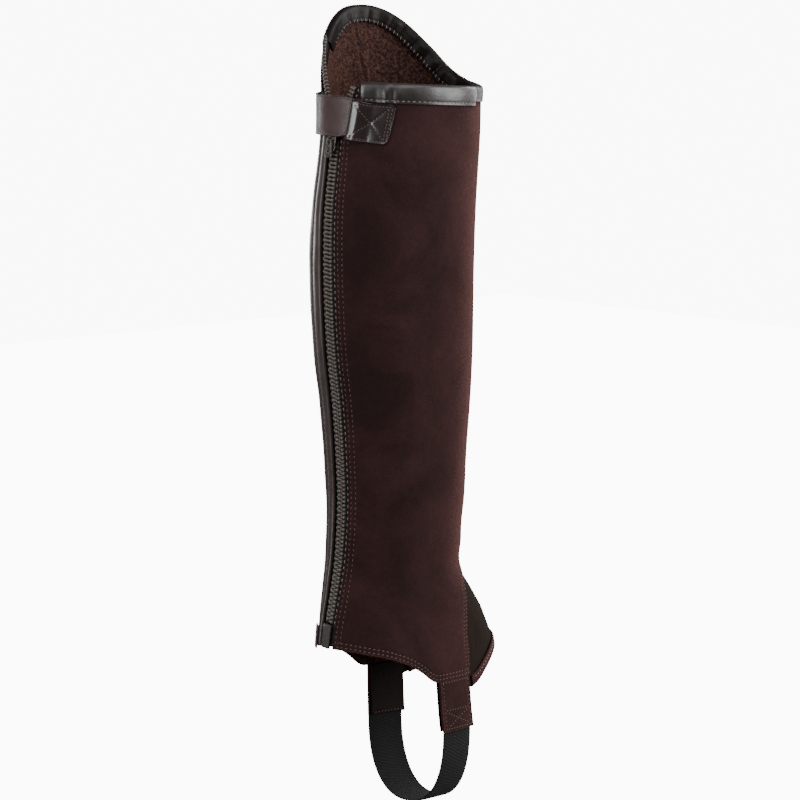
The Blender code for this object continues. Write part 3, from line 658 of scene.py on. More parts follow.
# %% Suede
def make_suede():
    """Nap in large patches and fine mottle, both noises, with sheen for the fibres seen edge on."""
    material, shader = start_material(
        "brushed_suede",
        Roughness=0.95,
        Specular_IOR_Level=0.08,
        Sheen_Weight=0.48,
        Sheen_Roughness=0.42,
        Sheen_Tint=linear("#c07c72"),
    )
    place = add(material, "ShaderNodeTexCoord").outputs["Object"]
    patches = noise(material, place, 48, 4.0, 0.55, 0.6)
    mottle = noise(material, place, 5, 5.0, 0.65)
    nap = noise(material, place, 0.9, 3.0, 0.7)
    stroked = stretch(material, patches, 0.36, 0.66)
    dusted = stretch(material, mottle, 0.35, 0.7)
    base = blend(material, stroked, "#251918", "#352122")
    spotted = blend(material, 0.55, base, dusted, "MULTIPLY")
    fibre = bump(material, nap, 0.55, 0.0005)
    brushed = bump(material, mottle, 0.35, 0.0006, fibre)
    feed(material, shader, Base_Color=blend(material, 0.7, spotted, base), Normal=brushed)
    return material


# %% [markdown]
# ### Leathers
#
# The bands, strap, patch, strip and gusset are grain leather: dyed through and rolled smooth, with fine
# pores, and some with a thin wax coat. The backings of the tabs are split leather with little gloss, drawn
# darker than the suede as painted shade inside the tabs. One recipe serves them all. Its pebble grain is a
# Voronoi pattern about a millimetre across, and each piece has its own colour and gloss: the inner band
# and the patch shine, and the strap is browner and duller. The outer band is the inner band's leather,
# drawn darker as painted shade.

# %% Leather
def make_leather(name, dark, light, roughness, coat, gloss_level=0.4, grain=1.0, relief=0.00012):
    """Grain leather of two close colours, with pebbles of this many mm and a slowly varying gloss."""
    material, shader = start_material(
        name, Specular_IOR_Level=gloss_level, Coat_Weight=coat, Coat_Roughness=0.2,
    )
    place = add(material, "ShaderNodeTexCoord").outputs["Object"]
    warp = noise(material, place, 7, 3.0)
    tone = noise(material, place, 14, 5.0, 0.6)
    pebbles = add(material, "ShaderNodeTexVoronoi", {"feature": "SMOOTH_F1"}, {
        "Vector": place, "Scale": size(grain), "Smoothness": 0.6,
    }).outputs["Distance"]
    colour = blend(material, tone, dark, light)
    gloss = stretch(material, warp, 0.3, 0.7, roughness - 0.06, roughness + 0.08)
    grained = bump(material, pebbles, 0.5, relief)
    rolled = bump(material, warp, 0.25, 0.0006, grained)
    feed(material, shader, Base_Color=colour, Roughness=gloss, Normal=rolled)
    return material


# %% [markdown]
# ### Felt, webbing, thread, zip and metal
#
# Felt is pressed wool with no weave: fibres of several browns in a tangle. A fine noise makes its flecks,
# drawn about 2 mm across so that they show, and a coarser one changes their brown. The zip's tape is a
# fine twill and the elastic has raised cross ribs, so both follow the cloth's own map. The teeth are
# moulded acetal resin, and the slider is zinc with a dark coat.

# %% Felt
def make_felt():
    """Flecks of two browns over a darker ground, with the same flecks as a raised tangle."""
    material, shader = start_material(
        "pressed_wool_felt", Roughness=1.0, Specular_IOR_Level=0.1,
        Sheen_Weight=0.3, Sheen_Roughness=0.5, Sheen_Tint=linear("#b07a60"),
    )
    place = add(material, "ShaderNodeTexCoord").outputs["Object"]
    fleck = noise(material, place, 1.9, 2.0, 0.7)
    hue = noise(material, place, 4.5, 3.0, 0.6)
    seen = stretch(material, fleck, 0.40, 0.68)
    dyed = stretch(material, hue, 0.36, 0.64)
    base = blend(material, dyed, "#432d2f", "#573c30")
    wool = blend(material, seen, "#1f1313", base)
    feed(material, shader, Base_Color=wool, Normal=bump(material, fleck, 0.8, 0.0012))
    return material


# %% Woven tape and elastic
RIB_PITCH = 2.6


def make_woven(name, dark, light, thread_mm, rib_mm, relief):
    """A weave on the cloth's map: ribs across it, each rib made of threads.

    Both are sine waves. Their phase in radians is 20 times the node's scale times the place.
    """
    material, shader = start_material(name, Roughness=0.85, Specular_IOR_Level=0.15, Sheen_Weight=0.04)
    cloth = add(material, "ShaderNodeUVMap", {"uv_map": "cloth"}).outputs["UV"]
    ribs, threads = (
        add(material, "ShaderNodeTexWave", {"wave_type": "BANDS", "bands_direction": way}, {
            "Vector": cloth, "Scale": size(mm) / 20 * 2 * np.pi, "Distortion": bend, "Detail": 1.0,
        }).outputs["Fac"]
        for way, mm, bend in (("Y", rib_mm, 0.4), ("X", thread_mm, 0.6))
    )
    woven = add(material, "ShaderNodeMath", {"operation": "MULTIPLY"}, {0: ribs, 1: threads})
    woven = woven.outputs["Value"]
    colour = blend(material, woven, dark, light)
    feed(material, shader, Base_Color=colour, Normal=bump(material, woven, 0.7, relief))
    return material


# %% Thread, moulded teeth and coated metal
def make_speckled(name, dark, light, roughness, speck_mm, relief, metallic=0.0, coat=0.0):
    """A small hard or twisted thing: one colour varied by a fine noise, which also roughens it."""
    material, shader = start_material(name, Metallic=metallic, Coat_Weight=coat)
    place = add(material, "ShaderNodeTexCoord").outputs["Object"]
    specks = noise(material, place, speck_mm, 4.0, 0.7)
    colour = blend(material, specks, dark, light)
    worn = stretch(material, specks, 0.3, 0.7, roughness - 0.08, roughness + 0.1)
    rough = bump(material, specks, 0.4, relief)
    feed(material, shader, Base_Color=colour, Roughness=worn, Normal=rough)
    return material


suede = make_suede()
band_leather = make_leather("waxed_band_leather", "#171211", "#261f1d", 0.42, 0.2, gloss_level=0.6)
# The outer band is the inner band's leather: its darker colours are painted shade, its low gloss its own.
shaded_rim_leather = make_leather("outer_band_shaded_leather", "#100b0b", "#1b1413", 0.42, 0.0, gloss_level=0.14)
strap_leather = make_leather("satin_strap_leather", "#3a2b2a", "#4a3a39", 0.46, 0.0, 0.3, 0.8, 0.00008)
patch_leather = make_leather("waxed_patch_leather", "#1a1313", "#2c2120", 0.24, 0.6)
strip_leather = make_leather("rolled_strip_leather", "#2d2524", "#423734", 0.36, 0.15)
gusset_leather = make_leather("smooth_gusset_leather", "#1d1714", "#271f1b", 0.8, 0.0, 0.02, 0.8, 0.00006)
# The tab backings are split leather drawn darker than the suede: painted shade inside the tabs.
shaded_split_leather = make_leather("shade_darkened_tab_leather", "#17100f", "#261b18", 0.6, 0.0, 0.06, 0.6, 0.0001)
felt = make_felt()
tape_cloth = make_woven("polyester_zip_tape", "#0b0c0e", "#1c1e21", 0.6, 0.6, 0.0002)
elastic_cloth = make_woven("ribbed_elastic", "#101010", "#242425", 0.7, RIB_PITCH, 0.0003)
thread = make_speckled("sewing_thread", "#4a3835", "#6a5350", 0.75, 0.5, 0.0002)
band_thread = make_speckled("band_thread", "#62534f", "#85766f", 0.6, 0.5, 0.0002)
acetal = make_speckled("moulded_acetal", "#38332f", "#6d645d", 0.42, 1.8, 0.0001)
# The bottom box is the teeth's resin drawn darker: painted shade that holds down its highlight.
shaded_box_acetal = make_speckled("shade_darkened_box_resin", "#2b2724", "#423c37", 0.5, 2.2, 0.0001)
coated_zinc = make_speckled(
    "dark_coated_zinc", "#5c5551", "#8a827d", 0.26, 3.0, 0.00005, metallic=0.9, coat=0.2,
)
print(len([m for m in bpy.data.materials if m.node_tree]), "materials")

# %% [markdown]
# ## Dressing a piece
#
# Each new piece rides on the body that its solid belongs to, and takes that solid's place.


def dress(piece, material, slot, *nodes, body="chap"):
    """Give a piece its material, its body and the nodes that it replaces. slot is not used."""
    piece.data.materials.clear()
    piece.data.materials.append(material)
    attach(piece, body)
    if nodes:
        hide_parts(*nodes)
    return piece


# %% [markdown]
# ## The suede panels
#
# The maker cuts one panel for each side of the leg and sews them together down the shin. A panel's
# columns run from its hem to its top, and its rows between the front seam and the zip. On top of the
# leg's form come slow undulations of half a millimetre, a turned edge beside the zip, and the dents that
# the stitch rows pull.

# %% Undulations and distances
def undulation(angle, height):
    """Slow waves of the cloth in mm: a few sines that run across each other."""
    a = np.radians(angle)
    wave = 0.30 * np.sin(2.2 * a + height / 41 + 0.6) * np.sin(height / 63 - 1.3 * a)
    wave += 0.16 * np.sin(5.1 * a - height / 23 + 2.0)
    ankle = np.exp(-(((height + 222) / 26) ** 2))
    wave += 0.55 * ankle * np.sin((height + 222 + 9 * np.cos(a)) / 7.5) * np.clip(np.cos(a + 0.9), 0, 1)
    return wave


ZIP_ROWS = (2.4, 6.4)
HEM_ROWS = (2.4, 5.4)
GUSSET_ROWS = (2.2, 5.4)
STRIP_ROW, SHIN_ROW = 2.4, 2.2


def panel_relief(angle, height, zip_distance, hem_distance, gusset_distance):
    """How far the suede stands out of the plain leg: waves, seam dents and a turned edge beside the zip."""
    fade = np.clip(np.minimum(zip_distance, hem_distance) / 12, 0, 1)
    out = undulation(angle, height) * fade
    for row in ZIP_ROWS:
        out = out + channel(zip_distance - row)
    for row in HEM_ROWS:
        out = out + channel(hem_distance - row, 0.3)
    for row in GUSSET_ROWS:
        out = out + channel(gusset_distance - row, 0.3)
    out = out + 0.35 * np.exp(-((zip_distance / 1.6) ** 4))
    return out


# %% The inner panel
INNER_BAND_START = -158.0


def inner_panel_line(share, height):
    """The panel's angle at a share of the way from the zip to the front."""
    return -(inner_edge(height) + (front_edge(height) - inner_edge(height)) * share)


def inner_low(share):
    """The hem's height at a share of the way from the zip to the front."""
    start = inner_edge(HEM[-1].height)
    return hem_height(start + (GUSSET_SIDE - start) * share)


def inner_high(share):
    """The top edge's height at a share of the way from the zip to the front."""
    return top_height(INNER_BAND_START * (1 - share))


def inner_out(angle, height):
    """The suede's relief at a place on the inner panel."""
    to_zip = (inner_edge(height) + angle) * mm_per_degree(angle, height)
    to_hem = height - hem_height(-angle)
    below = height < GUSSET_SEAM[-1].height
    to_gusset = np.where(below, (-angle - front_edge(height)) * mm_per_degree(angle, height), 99)
    return panel_relief(angle, height, to_zip, to_hem, to_gusset)


share = graded(120, 5, 2)[None, :]
rise = graded(250, 3, 0.5, 0.04)[:, None]
height = inner_low(share) + (inner_high(share) - inner_low(share)) * rise
angle = inner_panel_line(share, height)
piece, area = cloth_wall("suede_inner", on_leg(angle, height, inner_out(angle, height)), SUEDE)
dress(piece, suede, "suede", "inner_panel")

# %% The outer panel
def outer_out(angle, height):
    """The suede's relief at a place on the outer panel."""
    to_strip = (STRIP_FROM - angle) * mm_per_degree(angle, height)
    to_hem = height - hem_height(angle)
    below = height < GUSSET_SEAM[-1].height
    to_gusset = np.where(below, (angle - front_edge(height)) * mm_per_degree(angle, height), 99)
    return panel_relief(angle, height, to_strip, to_hem, to_gusset)


share = graded(110, 2, 4)[None, :]
rise = graded(270, 3, 0.5, 0.04)[:, None]
low = hem_height(GUSSET_SIDE + (STRIP_FROM - GUSSET_SIDE) * share)
high = top_height(STRIP_FROM * share)
height = low + (high - low) * rise
angle = front_edge(height) + (STRIP_FROM - SEAM_GAP - front_edge(height)) * share
piece, area = cloth_wall("suede_outer", on_leg(angle, height, outer_out(angle, height)), SUEDE)
dress(piece, suede, "suede", "outer_panel")

# %% [markdown]
# ## The strip beside the zip
#
# On the outer side the zip is sewn under a strip of soft leather that was rolled into two rounded folds
# with a stitched groove between them. The folds are a power of a sine's absolute value across the strip,
# so the groove is sharp and the crowns are round. Small slow waves along each fold break up its highlight
# as on real leather.

# %% The back strip
STRIP_FOLD = 1.4


def strip_relief(share, height):
    """Two rounded folds, each a little wavy along its length."""
    crown = STRIP_FOLD * np.abs(np.sin(2 * np.pi * share)) ** 0.7
    wave = 1 + 0.15 * np.sin(height / 9 + 5 * share) * np.sin(height / 31 + 1)
    return crown * wave


def strip_angle(share, height):
    """The angle at a share of the way from the suede to the zip."""
    return STRIP_FROM + (strip_edge(height) - STRIP_FROM) * share


share = np.linspace(0, 1, 33)[None, :]
rise = np.linspace(0, 1, 240)[:, None]
low = hem_height(strip_angle(share, HEM[-1].height))
high = top_height(strip_angle(share, SLIDER_HEIGHT)) - SEAM_GAP
height = low + (high - low) * rise
grid = on_leg(strip_angle(share, height), height, strip_relief(share, height))
inside = on_leg(strip_angle(share, height), height, -SUEDE)
piece = loft("strip", np.concatenate([grid, inside[:, ::-2]], axis=1))
dress(piece, strip_leather, "leather", "back_strip")

# %% [markdown]
# ## The felt lining
#
# Only the outer panel is lined. The felt lies under the suede and shows inside the high top. It is a wall
# of its own, a little lumpy, with one soft upright crease where the top bends over the leg.

# %% The lining
CREASE_ANGLE, CREASE_HEIGHT, CREASE_SLOPE = 84.5, 156.0, 4.3
CREASE_SHARES = (0.46, 0.57)


def lining_relief(angle, height):
    """Small lumps, and a soft ridge inwards with a narrow groove along its middle."""
    lumps = 0.08 * np.sin(angle / 2.3 + height / 5.1) * np.sin(height / 3.7 - angle / 3.1)
    off = angle - CREASE_ANGLE - (height - CREASE_HEIGHT) / CREASE_SLOPE
    ridge = 1.1 * np.exp(-((off / 6.0) ** 2)) - 1.1 * np.exp(-((off / 1.5) ** 2))
    return -ridge * np.clip((height - 110) / 15, 0, 1) + lumps - 0.1


share = np.concatenate([
    np.linspace(0, CREASE_SHARES[0], 34)[:-1],
    np.linspace(*CREASE_SHARES, 32),
    np.linspace(CREASE_SHARES[1], 1, 32)[1:],
])[None, :]
rise = np.linspace(0, 1, 200)[:, None]
BESIDE_TAPE = 14.6
BESIDE_GUSSET, ABOVE_GUSSET = GUSSET_LAP + 2.5, 15.0
OUTER_BAND_END, BELOW_SLOPE = 124.0, 12.0


def lining_angle(share, height):
    """The lining's angle at a share of the way from the front to the zip."""
    start = front_edge(height - ABOVE_GUSSET) + BESIDE_GUSSET
    end = zip_middle(height) - np.degrees(BESIDE_TAPE / side_reach(height))
    return start + (end - start) * share


low = hem_height(lining_angle(share, HEM[0].height)) + 2.0
here = lining_angle(share, SLIDER_HEIGHT)
past_band = np.clip((here - OUTER_BAND_END + BELOW_SLOPE) / BELOW_SLOPE, 0, 1)
height = low + (top_height(here) - 1.0 - BELOW_SLOPE * past_band - low) * rise
angle = lining_angle(share, height)
grid = on_leg(angle, height, UNDER_SUEDE - SEAM_GAP + np.minimum(lining_relief(angle, height), 0))
piece, area = cloth_wall("felt_lining", grid, LINING)
dress(piece, felt, "felt", "outer_lining")

# %% [markdown]
# ## The top bands
#
# A strip of waxed leather is folded over the raw top edge and sewn through. Its section is drawn once, as
# pairs of inset and distance from the suede, rounded by a smooth curve through its corners, and carried
# along the edge. Where the strip has to bend it wrinkles: near the zip on the inner side, and in pleats
# down the slope of the outer one.

# %% Strips carried along a line
INNER_BAND_OUTSIDE, OUTER_BAND_OUTSIDE, BAND_INSIDE = 13.7, 10.7, 11.5
BAND_JOINT = -61.0


def smooth_section(corners, count):
    """A closed section through corner points, in even steps, rounded by averaging neighbours."""
    loop = np.array(list(corners) + [corners[0]], float)
    length = running_length(loop)
    at = np.linspace(0, length[-1], count, endpoint=False)
    section = np.stack([np.interp(at, length, loop[:, k]) for k in range(2)], axis=-1)
    for _ in range(2):
        section = (np.roll(section, 1, axis=0) + 2 * section + np.roll(section, -1, axis=0)) / 4
    return section


def carry(angles, heights, section, side=1, swell=None):
    """Rings of a section along a line on the leg: inset is square to the line, out is along the normal.

    swell(inset, out, angle) gives an extra distance along the normal, for wrinkles.
    """
    per_degree = mm_per_degree(angles, heights)
    step_across, step_up = np.gradient(angles) * per_degree, np.gradient(heights)
    length = np.hypot(step_across, step_up)
    left_across, left_up = -side * step_up / length, side * step_across / length
    inset, out = section[None, :, 0], section[None, :, 1]
    if swell is not None:
        out = out + swell(inset, out, angles[:, None])
    return on_leg(
        angles[:, None] + inset * (left_across / per_degree)[:, None],
        heights[:, None] + inset * left_up[:, None],
        out,
    )


def folded_band(outside, inside, inner_face):
    """The corners of a leather strip folded over a cut edge."""
    thick, rise = LEATHER - 0.1, 1.6
    return [
        (outside, SEAM_GAP + thick),
        (1.0, SEAM_GAP + thick + 0.25),
        (-0.8, SEAM_GAP + 0.7 * thick),
        (-rise, -0.4),
        (-rise, inner_face + 0.4),
        (-0.8, inner_face - 0.7 * thick),
        (1.0, inner_face - thick - 0.1),
        (inside, inner_face - thick),
        (inside, inner_face),
        (-SEAM_GAP, inner_face),
        (-SEAM_GAP, SEAM_GAP),
        (outside, SEAM_GAP),
    ]


# %% The inner band
BAND_STITCH, BAND_POINTS = 2.3, 76


def bell(x, middle, width):
    """A bump of height 1: exp(-((x - middle) / width)^2)."""
    return np.exp(-(((x - middle) / width) ** 2))


def inner_band_swell(inset, out, angle):
    """Soft upright wrinkles near the zip, a dent at the stitches and a fuller fold at the top."""
    outside = np.clip(out / 0.8, 0, 1)
    wrinkles = 0.5 * bell(angle, -156, 3.0) - 0.7 * bell(angle, -147, 3.2) + 0.8 * bell(angle, -139, 2.2)
    wrinkles = wrinkles - 0.7 * bell(angle, -134.5, 1.8) + 0.5 * bell(angle, -129.5, 2.6)
    wrinkles = wrinkles - 0.2 * bell(angle, -122, 3)
    slow = 0.12 * np.sin(angle / 7.0)
    stitch = channel(inset - (INNER_BAND_OUTSIDE - BAND_STITCH), 0.35, 1.0)
    pillow = 0.7 * np.exp(-(((inset - 5.0) / 4.5) ** 2))
    return outside * (wrinkles * np.clip(inset / 6, 0.3, 1) + slow + stitch + pillow)


corners = folded_band(INNER_BAND_OUTSIDE, BAND_INSIDE, UNDER_SUEDE - TAPE - SEAM_GAP)
section = smooth_section(corners, BAND_POINTS)
angles = np.linspace(INNER_BAND_START, BAND_JOINT - SEAM_GAP, 260)
piece = loft("band_inner", carry(angles, top_height(angles), section, -1, inner_band_swell))
dress(piece, band_leather, "leather", "inner_band")

# %% The outer band
def outer_band_swell(inset, out, angle):
    """Pleats on the slope to the front and fainter ones over the top, on both leaves, and slow waves."""
    slope = np.clip((angle - 2) / 12, 0, 1) * np.clip((72 - angle) / 20, 0.35, 1)
    slope = slope * np.clip((112 - angle) / 12, 0, 1)
    pleats = 1.5 * slope * np.abs(np.sin(angle * np.pi / 9.5 + 0.35 * np.sin(angle / 3))) ** 1.3
    slow = 0.16 * np.sin(angle / 5.0) * np.sin(angle / 11 + inset / 5)
    leaf = np.where(out > -0.9, 1, -1)
    off_fold = np.clip(np.abs(inset) / 3, 0.2, 1)
    stitch = channel(inset - np.where(leaf > 0, OUTER_BAND_OUTSIDE, BAND_INSIDE) + BAND_STITCH, 0.35, 1.0)
    outer_face = np.clip(np.where(leaf > 0, out / 0.8, (-out - 4.0) / 0.6), 0, 1)
    return leaf * outer_face * ((pleats + slow) * off_fold + stitch)


corners = folded_band(OUTER_BAND_OUTSIDE, BAND_INSIDE, UNDER_SUEDE - LINING - 3 * SEAM_GAP)
section = smooth_section(corners, BAND_POINTS)
angles = np.linspace(BAND_JOINT, OUTER_BAND_END, 380)
piece = loft("band_outer", carry(angles, top_height(angles), section, -1, outer_band_swell))
# The outer band's darker leather is painted shade.
dress(piece, shaded_rim_leather, "leather", "outer_band")

# %% [markdown]
# ## The instep gusset
#
# Smooth leather flares over the instep of the boot, under the suede's edges. Its surface follows the
# leg's formula, with a shallow crease above the hem where it bends over the boot. A folded strip of suede
# binds it.

# %% Gusset and binding
def gusset_relief(angle, height):
    """A shallow crease above the hem and slow waves, a little below the seam's own line."""
    bend = 0.5 * bell(height, -272, 6) * np.clip(1 - np.abs(angle) / 60, 0, 1)
    return bend + 0.18 * np.sin(height / 6.5 + angle / 9) - 0.35


share = np.linspace(0, 1, 110)[None, :]
rise = np.linspace(0, 1, 120)[:, None]
low = gusset_hem(np.abs(2 * share - 1) * (GUSSET_SIDE + GUSSET_LAP))
height = low + (GUSSET_SEAM[-1].height + 3 * GUSSET_LAP - low) * rise
angle = (2 * share - 1) * (gusset_angle(height) + GUSSET_LAP)
beyond_lap = np.clip((gusset_angle(height) - 4 - np.abs(angle)) / 4, 0, 1)
out = UNDER_SUEDE - rise + gusset_relief(angle, height) * beyond_lap
piece, area = cloth_wall("gusset", on_leg(angle, height, out), LEATHER)
dress(piece, gusset_leather, "leather", "instep_gusset")

outer_face = UNDER_SUEDE + SEAM_GAP
inner_face = UNDER_SUEDE - LEATHER - SEAM_GAP
BINDING = [
    (8.5, outer_face + 1.0),
    (0.6, outer_face + 1.15),
    (-1.4, outer_face + 0.1),
    (-1.4, inner_face - 0.1),
    (0.6, inner_face - 1.0),
    (6.0, inner_face - 1.0),
    (6.0, inner_face),
    (-SEAM_GAP, inner_face),
    (-SEAM_GAP, outer_face),
    (8.5, outer_face),
]
BINDING_ROW = np.array([[5.6, outer_face + 1.0]])
angles = np.linspace(-62.4, 62.4, 160)
piece = loft("hem_binding", carry(angles, gusset_hem(np.abs(angles)), smooth_section(BINDING, 60)))
dress(piece, suede, "suede", "gusset_binding")

# %% [markdown]
# ## Tabs and elastic
#
# Below the hem each side panel runs on as a tab, backed by a second layer. The ends of a broad elastic
# are sewn between the layers, and it passes under the boot. The elastic is a squared half ellipse from
# tab to tab, with fine raised ribs across it.

# %% Tabs
TAB_TOP, TAB_BOTTOM = -319.5, -359.0
TabAngles = namedtuple("TabAngles", "top_front top_rear bottom_front bottom_rear")
TABS = {"inner": TabAngles(66.2, 87.2, 62.0, 84.2), "outer": TabAngles(66.2, 85.8, 65.0, 85.3)}
ELASTIC_THICKNESS = 1.5


def tab_place(side, share, rise):
    """The angle and height at shares across and up a tab. share runs towards larger angles."""
    sign = -1 if side == "inner" else 1
    tab = TABS[side]
    front = tab.bottom_front + (tab.top_front - tab.bottom_front) * rise**0.7
    rear = tab.bottom_rear + (tab.top_rear - tab.bottom_rear) * rise**0.7
    across = share if side == "outer" else 1 - share
    height = TAB_BOTTOM + (TAB_TOP + SEAM_GAP - TAB_BOTTOM) * rise
    return sign * (front + (rear - front) * across), height + 0 * share


BOX_LOW, BOX_HIGH, BOX_SIDE = 0.06, 0.42, 0.12
TAB_SEAMS = [
    SewnLine(0.10, 0.02, 0.10, 0.98),
    SewnLine(0.90, 0.02, 0.90, 0.98),
    SewnLine(BOX_SIDE, BOX_LOW, 1 - BOX_SIDE, BOX_LOW),
    SewnLine(BOX_SIDE, BOX_HIGH, 1 - BOX_SIDE, BOX_HIGH),
    SewnLine(0.18, 0.10, 0.82, 0.38),
    SewnLine(0.18, 0.38, 0.82, 0.10),
    SewnLine(0.06, 0.97, 0.94, 0.97),
]
TAB_BACK_SEAM = SewnLine(0.08, 0.06, 0.92, 0.06)
TAB_BOX = (27.0, 39.5)


def tab_relief(share, rise):
    """The dents along the tab's seams, which stay shallow where seams meet."""
    return np.maximum(seam_dents(TAB_SEAMS, TAB_BOX, share, rise, 0.22), -0.4)


tab_rows = []
share = np.linspace(0, 1, 56)[None, :]
rise = np.linspace(0, 1, 76)[:, None]
for side in ("inner", "outer"):
    angle, height = tab_place(side, share, rise)
    piece, area = cloth_wall(f"tab_{side}", on_leg(angle, height, tab_relief(share, rise)), SUEDE)
    dress(piece, suede, "suede", f"{side}_tab")
    behind = -(SUEDE + ELASTIC_THICKNESS + 2 * SEAM_GAP)
    back = on_leg(angle - 0.4 * (2 * share - 1), height + 0.5, behind)
    piece, area = cloth_wall(f"tab_back_{side}", back, LEATHER)
    # The backing's darker leather is painted shade inside the tab.
    dress(piece, shaded_split_leather, "suede", f"{side}_tab_backing")
    angle_line, height_line = tab_place(side, *along_seam(TAB_BACK_SEAM, 60))
    points = on_leg(angle_line, height_line, behind - LEATHER)
    tab_rows.append(stitch_row(points, -leg_normal(angle_line, height_line), FINE_PITCH))
    for line in TAB_SEAMS:
        here = along_seam(line, 60)
        angle_line, height_line = tab_place(side, *here)
        points = on_leg(angle_line, height_line, tab_relief(*here))
        tab_rows.append(stitch_row(points, leg_normal(angle_line, height_line), FINE_PITCH))

# %% The elastic
ELASTIC_WIDTH, ELASTIC_END, ELASTIC_DROP = 31.5, -340.0, 60.0
ELASTIC_CENTRE, ELASTIC_LEAN, ELASTIC_SQUARENESS = 24.5, 2.7, 2.3
RIB_HEIGHT, RIB_SLANT, RIB_TWIST = 0.22, 0.45, -0.55
ELASTIC_HALF_SPAN, ELASTIC_STEPS, ARM_STEPS = 40.7, 520, 30


def elastic_centre(steps):
    """The elastic's middle line as (share across the leg, height), in even steps of length."""
    turn = np.linspace(0, np.pi, 400)
    arm = np.linspace(ELASTIC_END, TAB_BOTTOM, ARM_STEPS)[:-1]
    power = 2 / ELASTIC_SQUARENESS
    bend_out = np.sign(np.cos(turn)) * np.abs(np.cos(turn)) ** power
    bend_down = np.abs(np.sin(turn)) ** power
    share = np.concatenate([np.ones(len(arm)), bend_out, -np.ones(len(arm))])
    height = np.concatenate([arm, TAB_BOTTOM - ELASTIC_DROP * bend_down, arm[::-1]])
    run = np.hypot(np.diff(share) * ELASTIC_HALF_SPAN, np.diff(height))
    length = np.concatenate([[0], np.cumsum(run)])
    at = np.linspace(0, length[-1], steps)
    return np.interp(at, length, share), np.interp(at, length, height), length[-1]


share, height, length = elastic_centre(ELASTIC_STEPS)
across = ELASTIC_WIDTH * np.linspace(-0.5, 0.5, 25)[None, :]
x = ELASTIC_CENTRE - ELASTIC_LEAN * share[:, None] + across
half_leg = side_reach(TAB_BOTTOM) * np.sqrt(1 - (x / front_reach(TAB_BOTTOM)) ** 2)
y = share[:, None] * (half_leg - SUEDE - SEAM_GAP)
grid = np.stack(np.broadcast_arrays(x, y, height[:, None]), axis=-1)
along = np.linspace(0, length, ELASTIC_STEPS)[:, None]
slant = RIB_SLANT + (RIB_TWIST - RIB_SLANT) * np.clip(1.6 * along / length - 0.3, 0, 1)
phase = along - slant * across
ribs = RIB_HEIGHT * (np.abs(np.sin(np.pi * phase / RIB_PITCH)) - 1)
in_tabs = np.clip((np.minimum(along, length - along) - 12) / 10, 0, 1)
to_edge = across / ELASTIC_WIDTH * 2
edge = 0.25 * (np.exp(-((to_edge + 1) * 8)) + np.exp(-((1 - to_edge) * 8)))
grid = grid + grid_normals(grid) * (ribs * in_tabs - edge)[..., None]
weave = np.stack(np.broadcast_arrays(across, phase), axis=-1)
piece, area = cloth_wall("elastic", grid, ELASTIC_THICKNESS - 0.2, uv=weave)
dress(piece, elastic_cloth, "webbing", "elastic_strap")
print("the elastic is", round(length), "mm long, with a rib every", RIB_PITCH, "mm")

# %% [markdown]
# ## The closing strap and its patch
#
# A leather strap crosses the top of the zip. Its end is sewn under a square patch on the inner panel, and
# the free end is held by a press stud on the outer side. Two fine grooves run along each edge. The patch
# stands up over the strap's end in a shiny ridge and lies flat on the suede beyond it.

# %% The strap
STRAP_LOW, STRAP_HIGH = 90.8, 121.3
STRAP_FROM, STRAP_TO, STRAP_SHEAR = 112.0, 197.5, 6.5
STRAP_THICKNESS = 1.8
StrapStep = namedtuple("StrapStep", "angle out")
STRAP_PATH = [
    StrapStep(112, 2.0),
    StrapStep(122, 2.1),
    StrapStep(132, 2.7),
    StrapStep(142, 3.7),
    StrapStep(152, 4.8),
    StrapStep(162, 5.6),
    StrapStep(172, 5.8),
    StrapStep(180, 5.4),
    StrapStep(187, 4.8),
    StrapStep(193, 4.0),
    StrapStep(206, 3.9),
]
strap_out = curve_through(STRAP_PATH, "angle", "out")


def strap_place(share, rise):
    """The angle and height at shares along and up the strap, whose free end is round."""
    angle = STRAP_FROM + (STRAP_TO + STRAP_SHEAR * rise - STRAP_FROM) * share
    middle, half = (STRAP_LOW + STRAP_HIGH) / 2, (STRAP_HIGH - STRAP_LOW) / 2
    under_patch = 2.0 * np.clip((share - 0.84) / 0.1, 0, 1)
    half = half * np.sqrt(1 - np.clip(1 - share / 0.12, 0, 0.93) ** 2) - under_patch
    return angle, middle + half * (2 * rise - 1)


share = graded(150, 3)[None, :]
rise = graded(60, 2, 2, 0.1)[:, None]
angle, height = strap_place(share, rise)
from_edge = (STRAP_HIGH - STRAP_LOW) * np.minimum(rise, 1 - rise)
relief = channel(from_edge - 2.2, 0.22, 0.45) + channel(from_edge - 3.6, 0.10, 0.4)
relief = relief + 0.15 * np.sin(angle / 4.2) * np.sin(np.pi * rise)
grid = on_leg(angle, height, strap_out(angle) + relief - 0.1)
piece, area = cloth_wall("strap", grid, STRAP_THICKNESS - 0.1)
dress(piece, strap_leather, "leather", "closure_strap")

# %% The patch
PATCH_FROM, PATCH_TO = 190.0, 221.5
PATCH_LOW, PATCH_HIGH = 89.0, 119.8
PatchStep = namedtuple("PatchStep", "share out")
PATCH_PATH = [
    PatchStep(0, 5.6),
    PatchStep(0.04, 6.05),
    PatchStep(0.10, 6.2),
    PatchStep(0.17, 6.2),
    PatchStep(0.25, 5.6),
    PatchStep(0.34, 3.7),
    PatchStep(0.42, 2.1),
    PatchStep(0.52, 1.5),
    PatchStep(1, 1.5),
]
patch_out = curve_through(PATCH_PATH, "share", "out")


def patch_place(share, rise):
    """The angle and height at shares across and up the patch, with two rounded corners."""
    angle = PATCH_FROM + STRAP_SHEAR * rise + (PATCH_TO - PATCH_FROM - 0.8 * rise) * share
    corner = 3.0 * np.clip((share - 0.88) / 0.12, 0, 1) ** 2
    low = PATCH_LOW - 3.5 * share + corner
    high = PATCH_HIGH - 3.0 * np.clip(share / 0.4, 0, 1) - 1.5 * share - corner
    return angle, low + (high - low) * rise


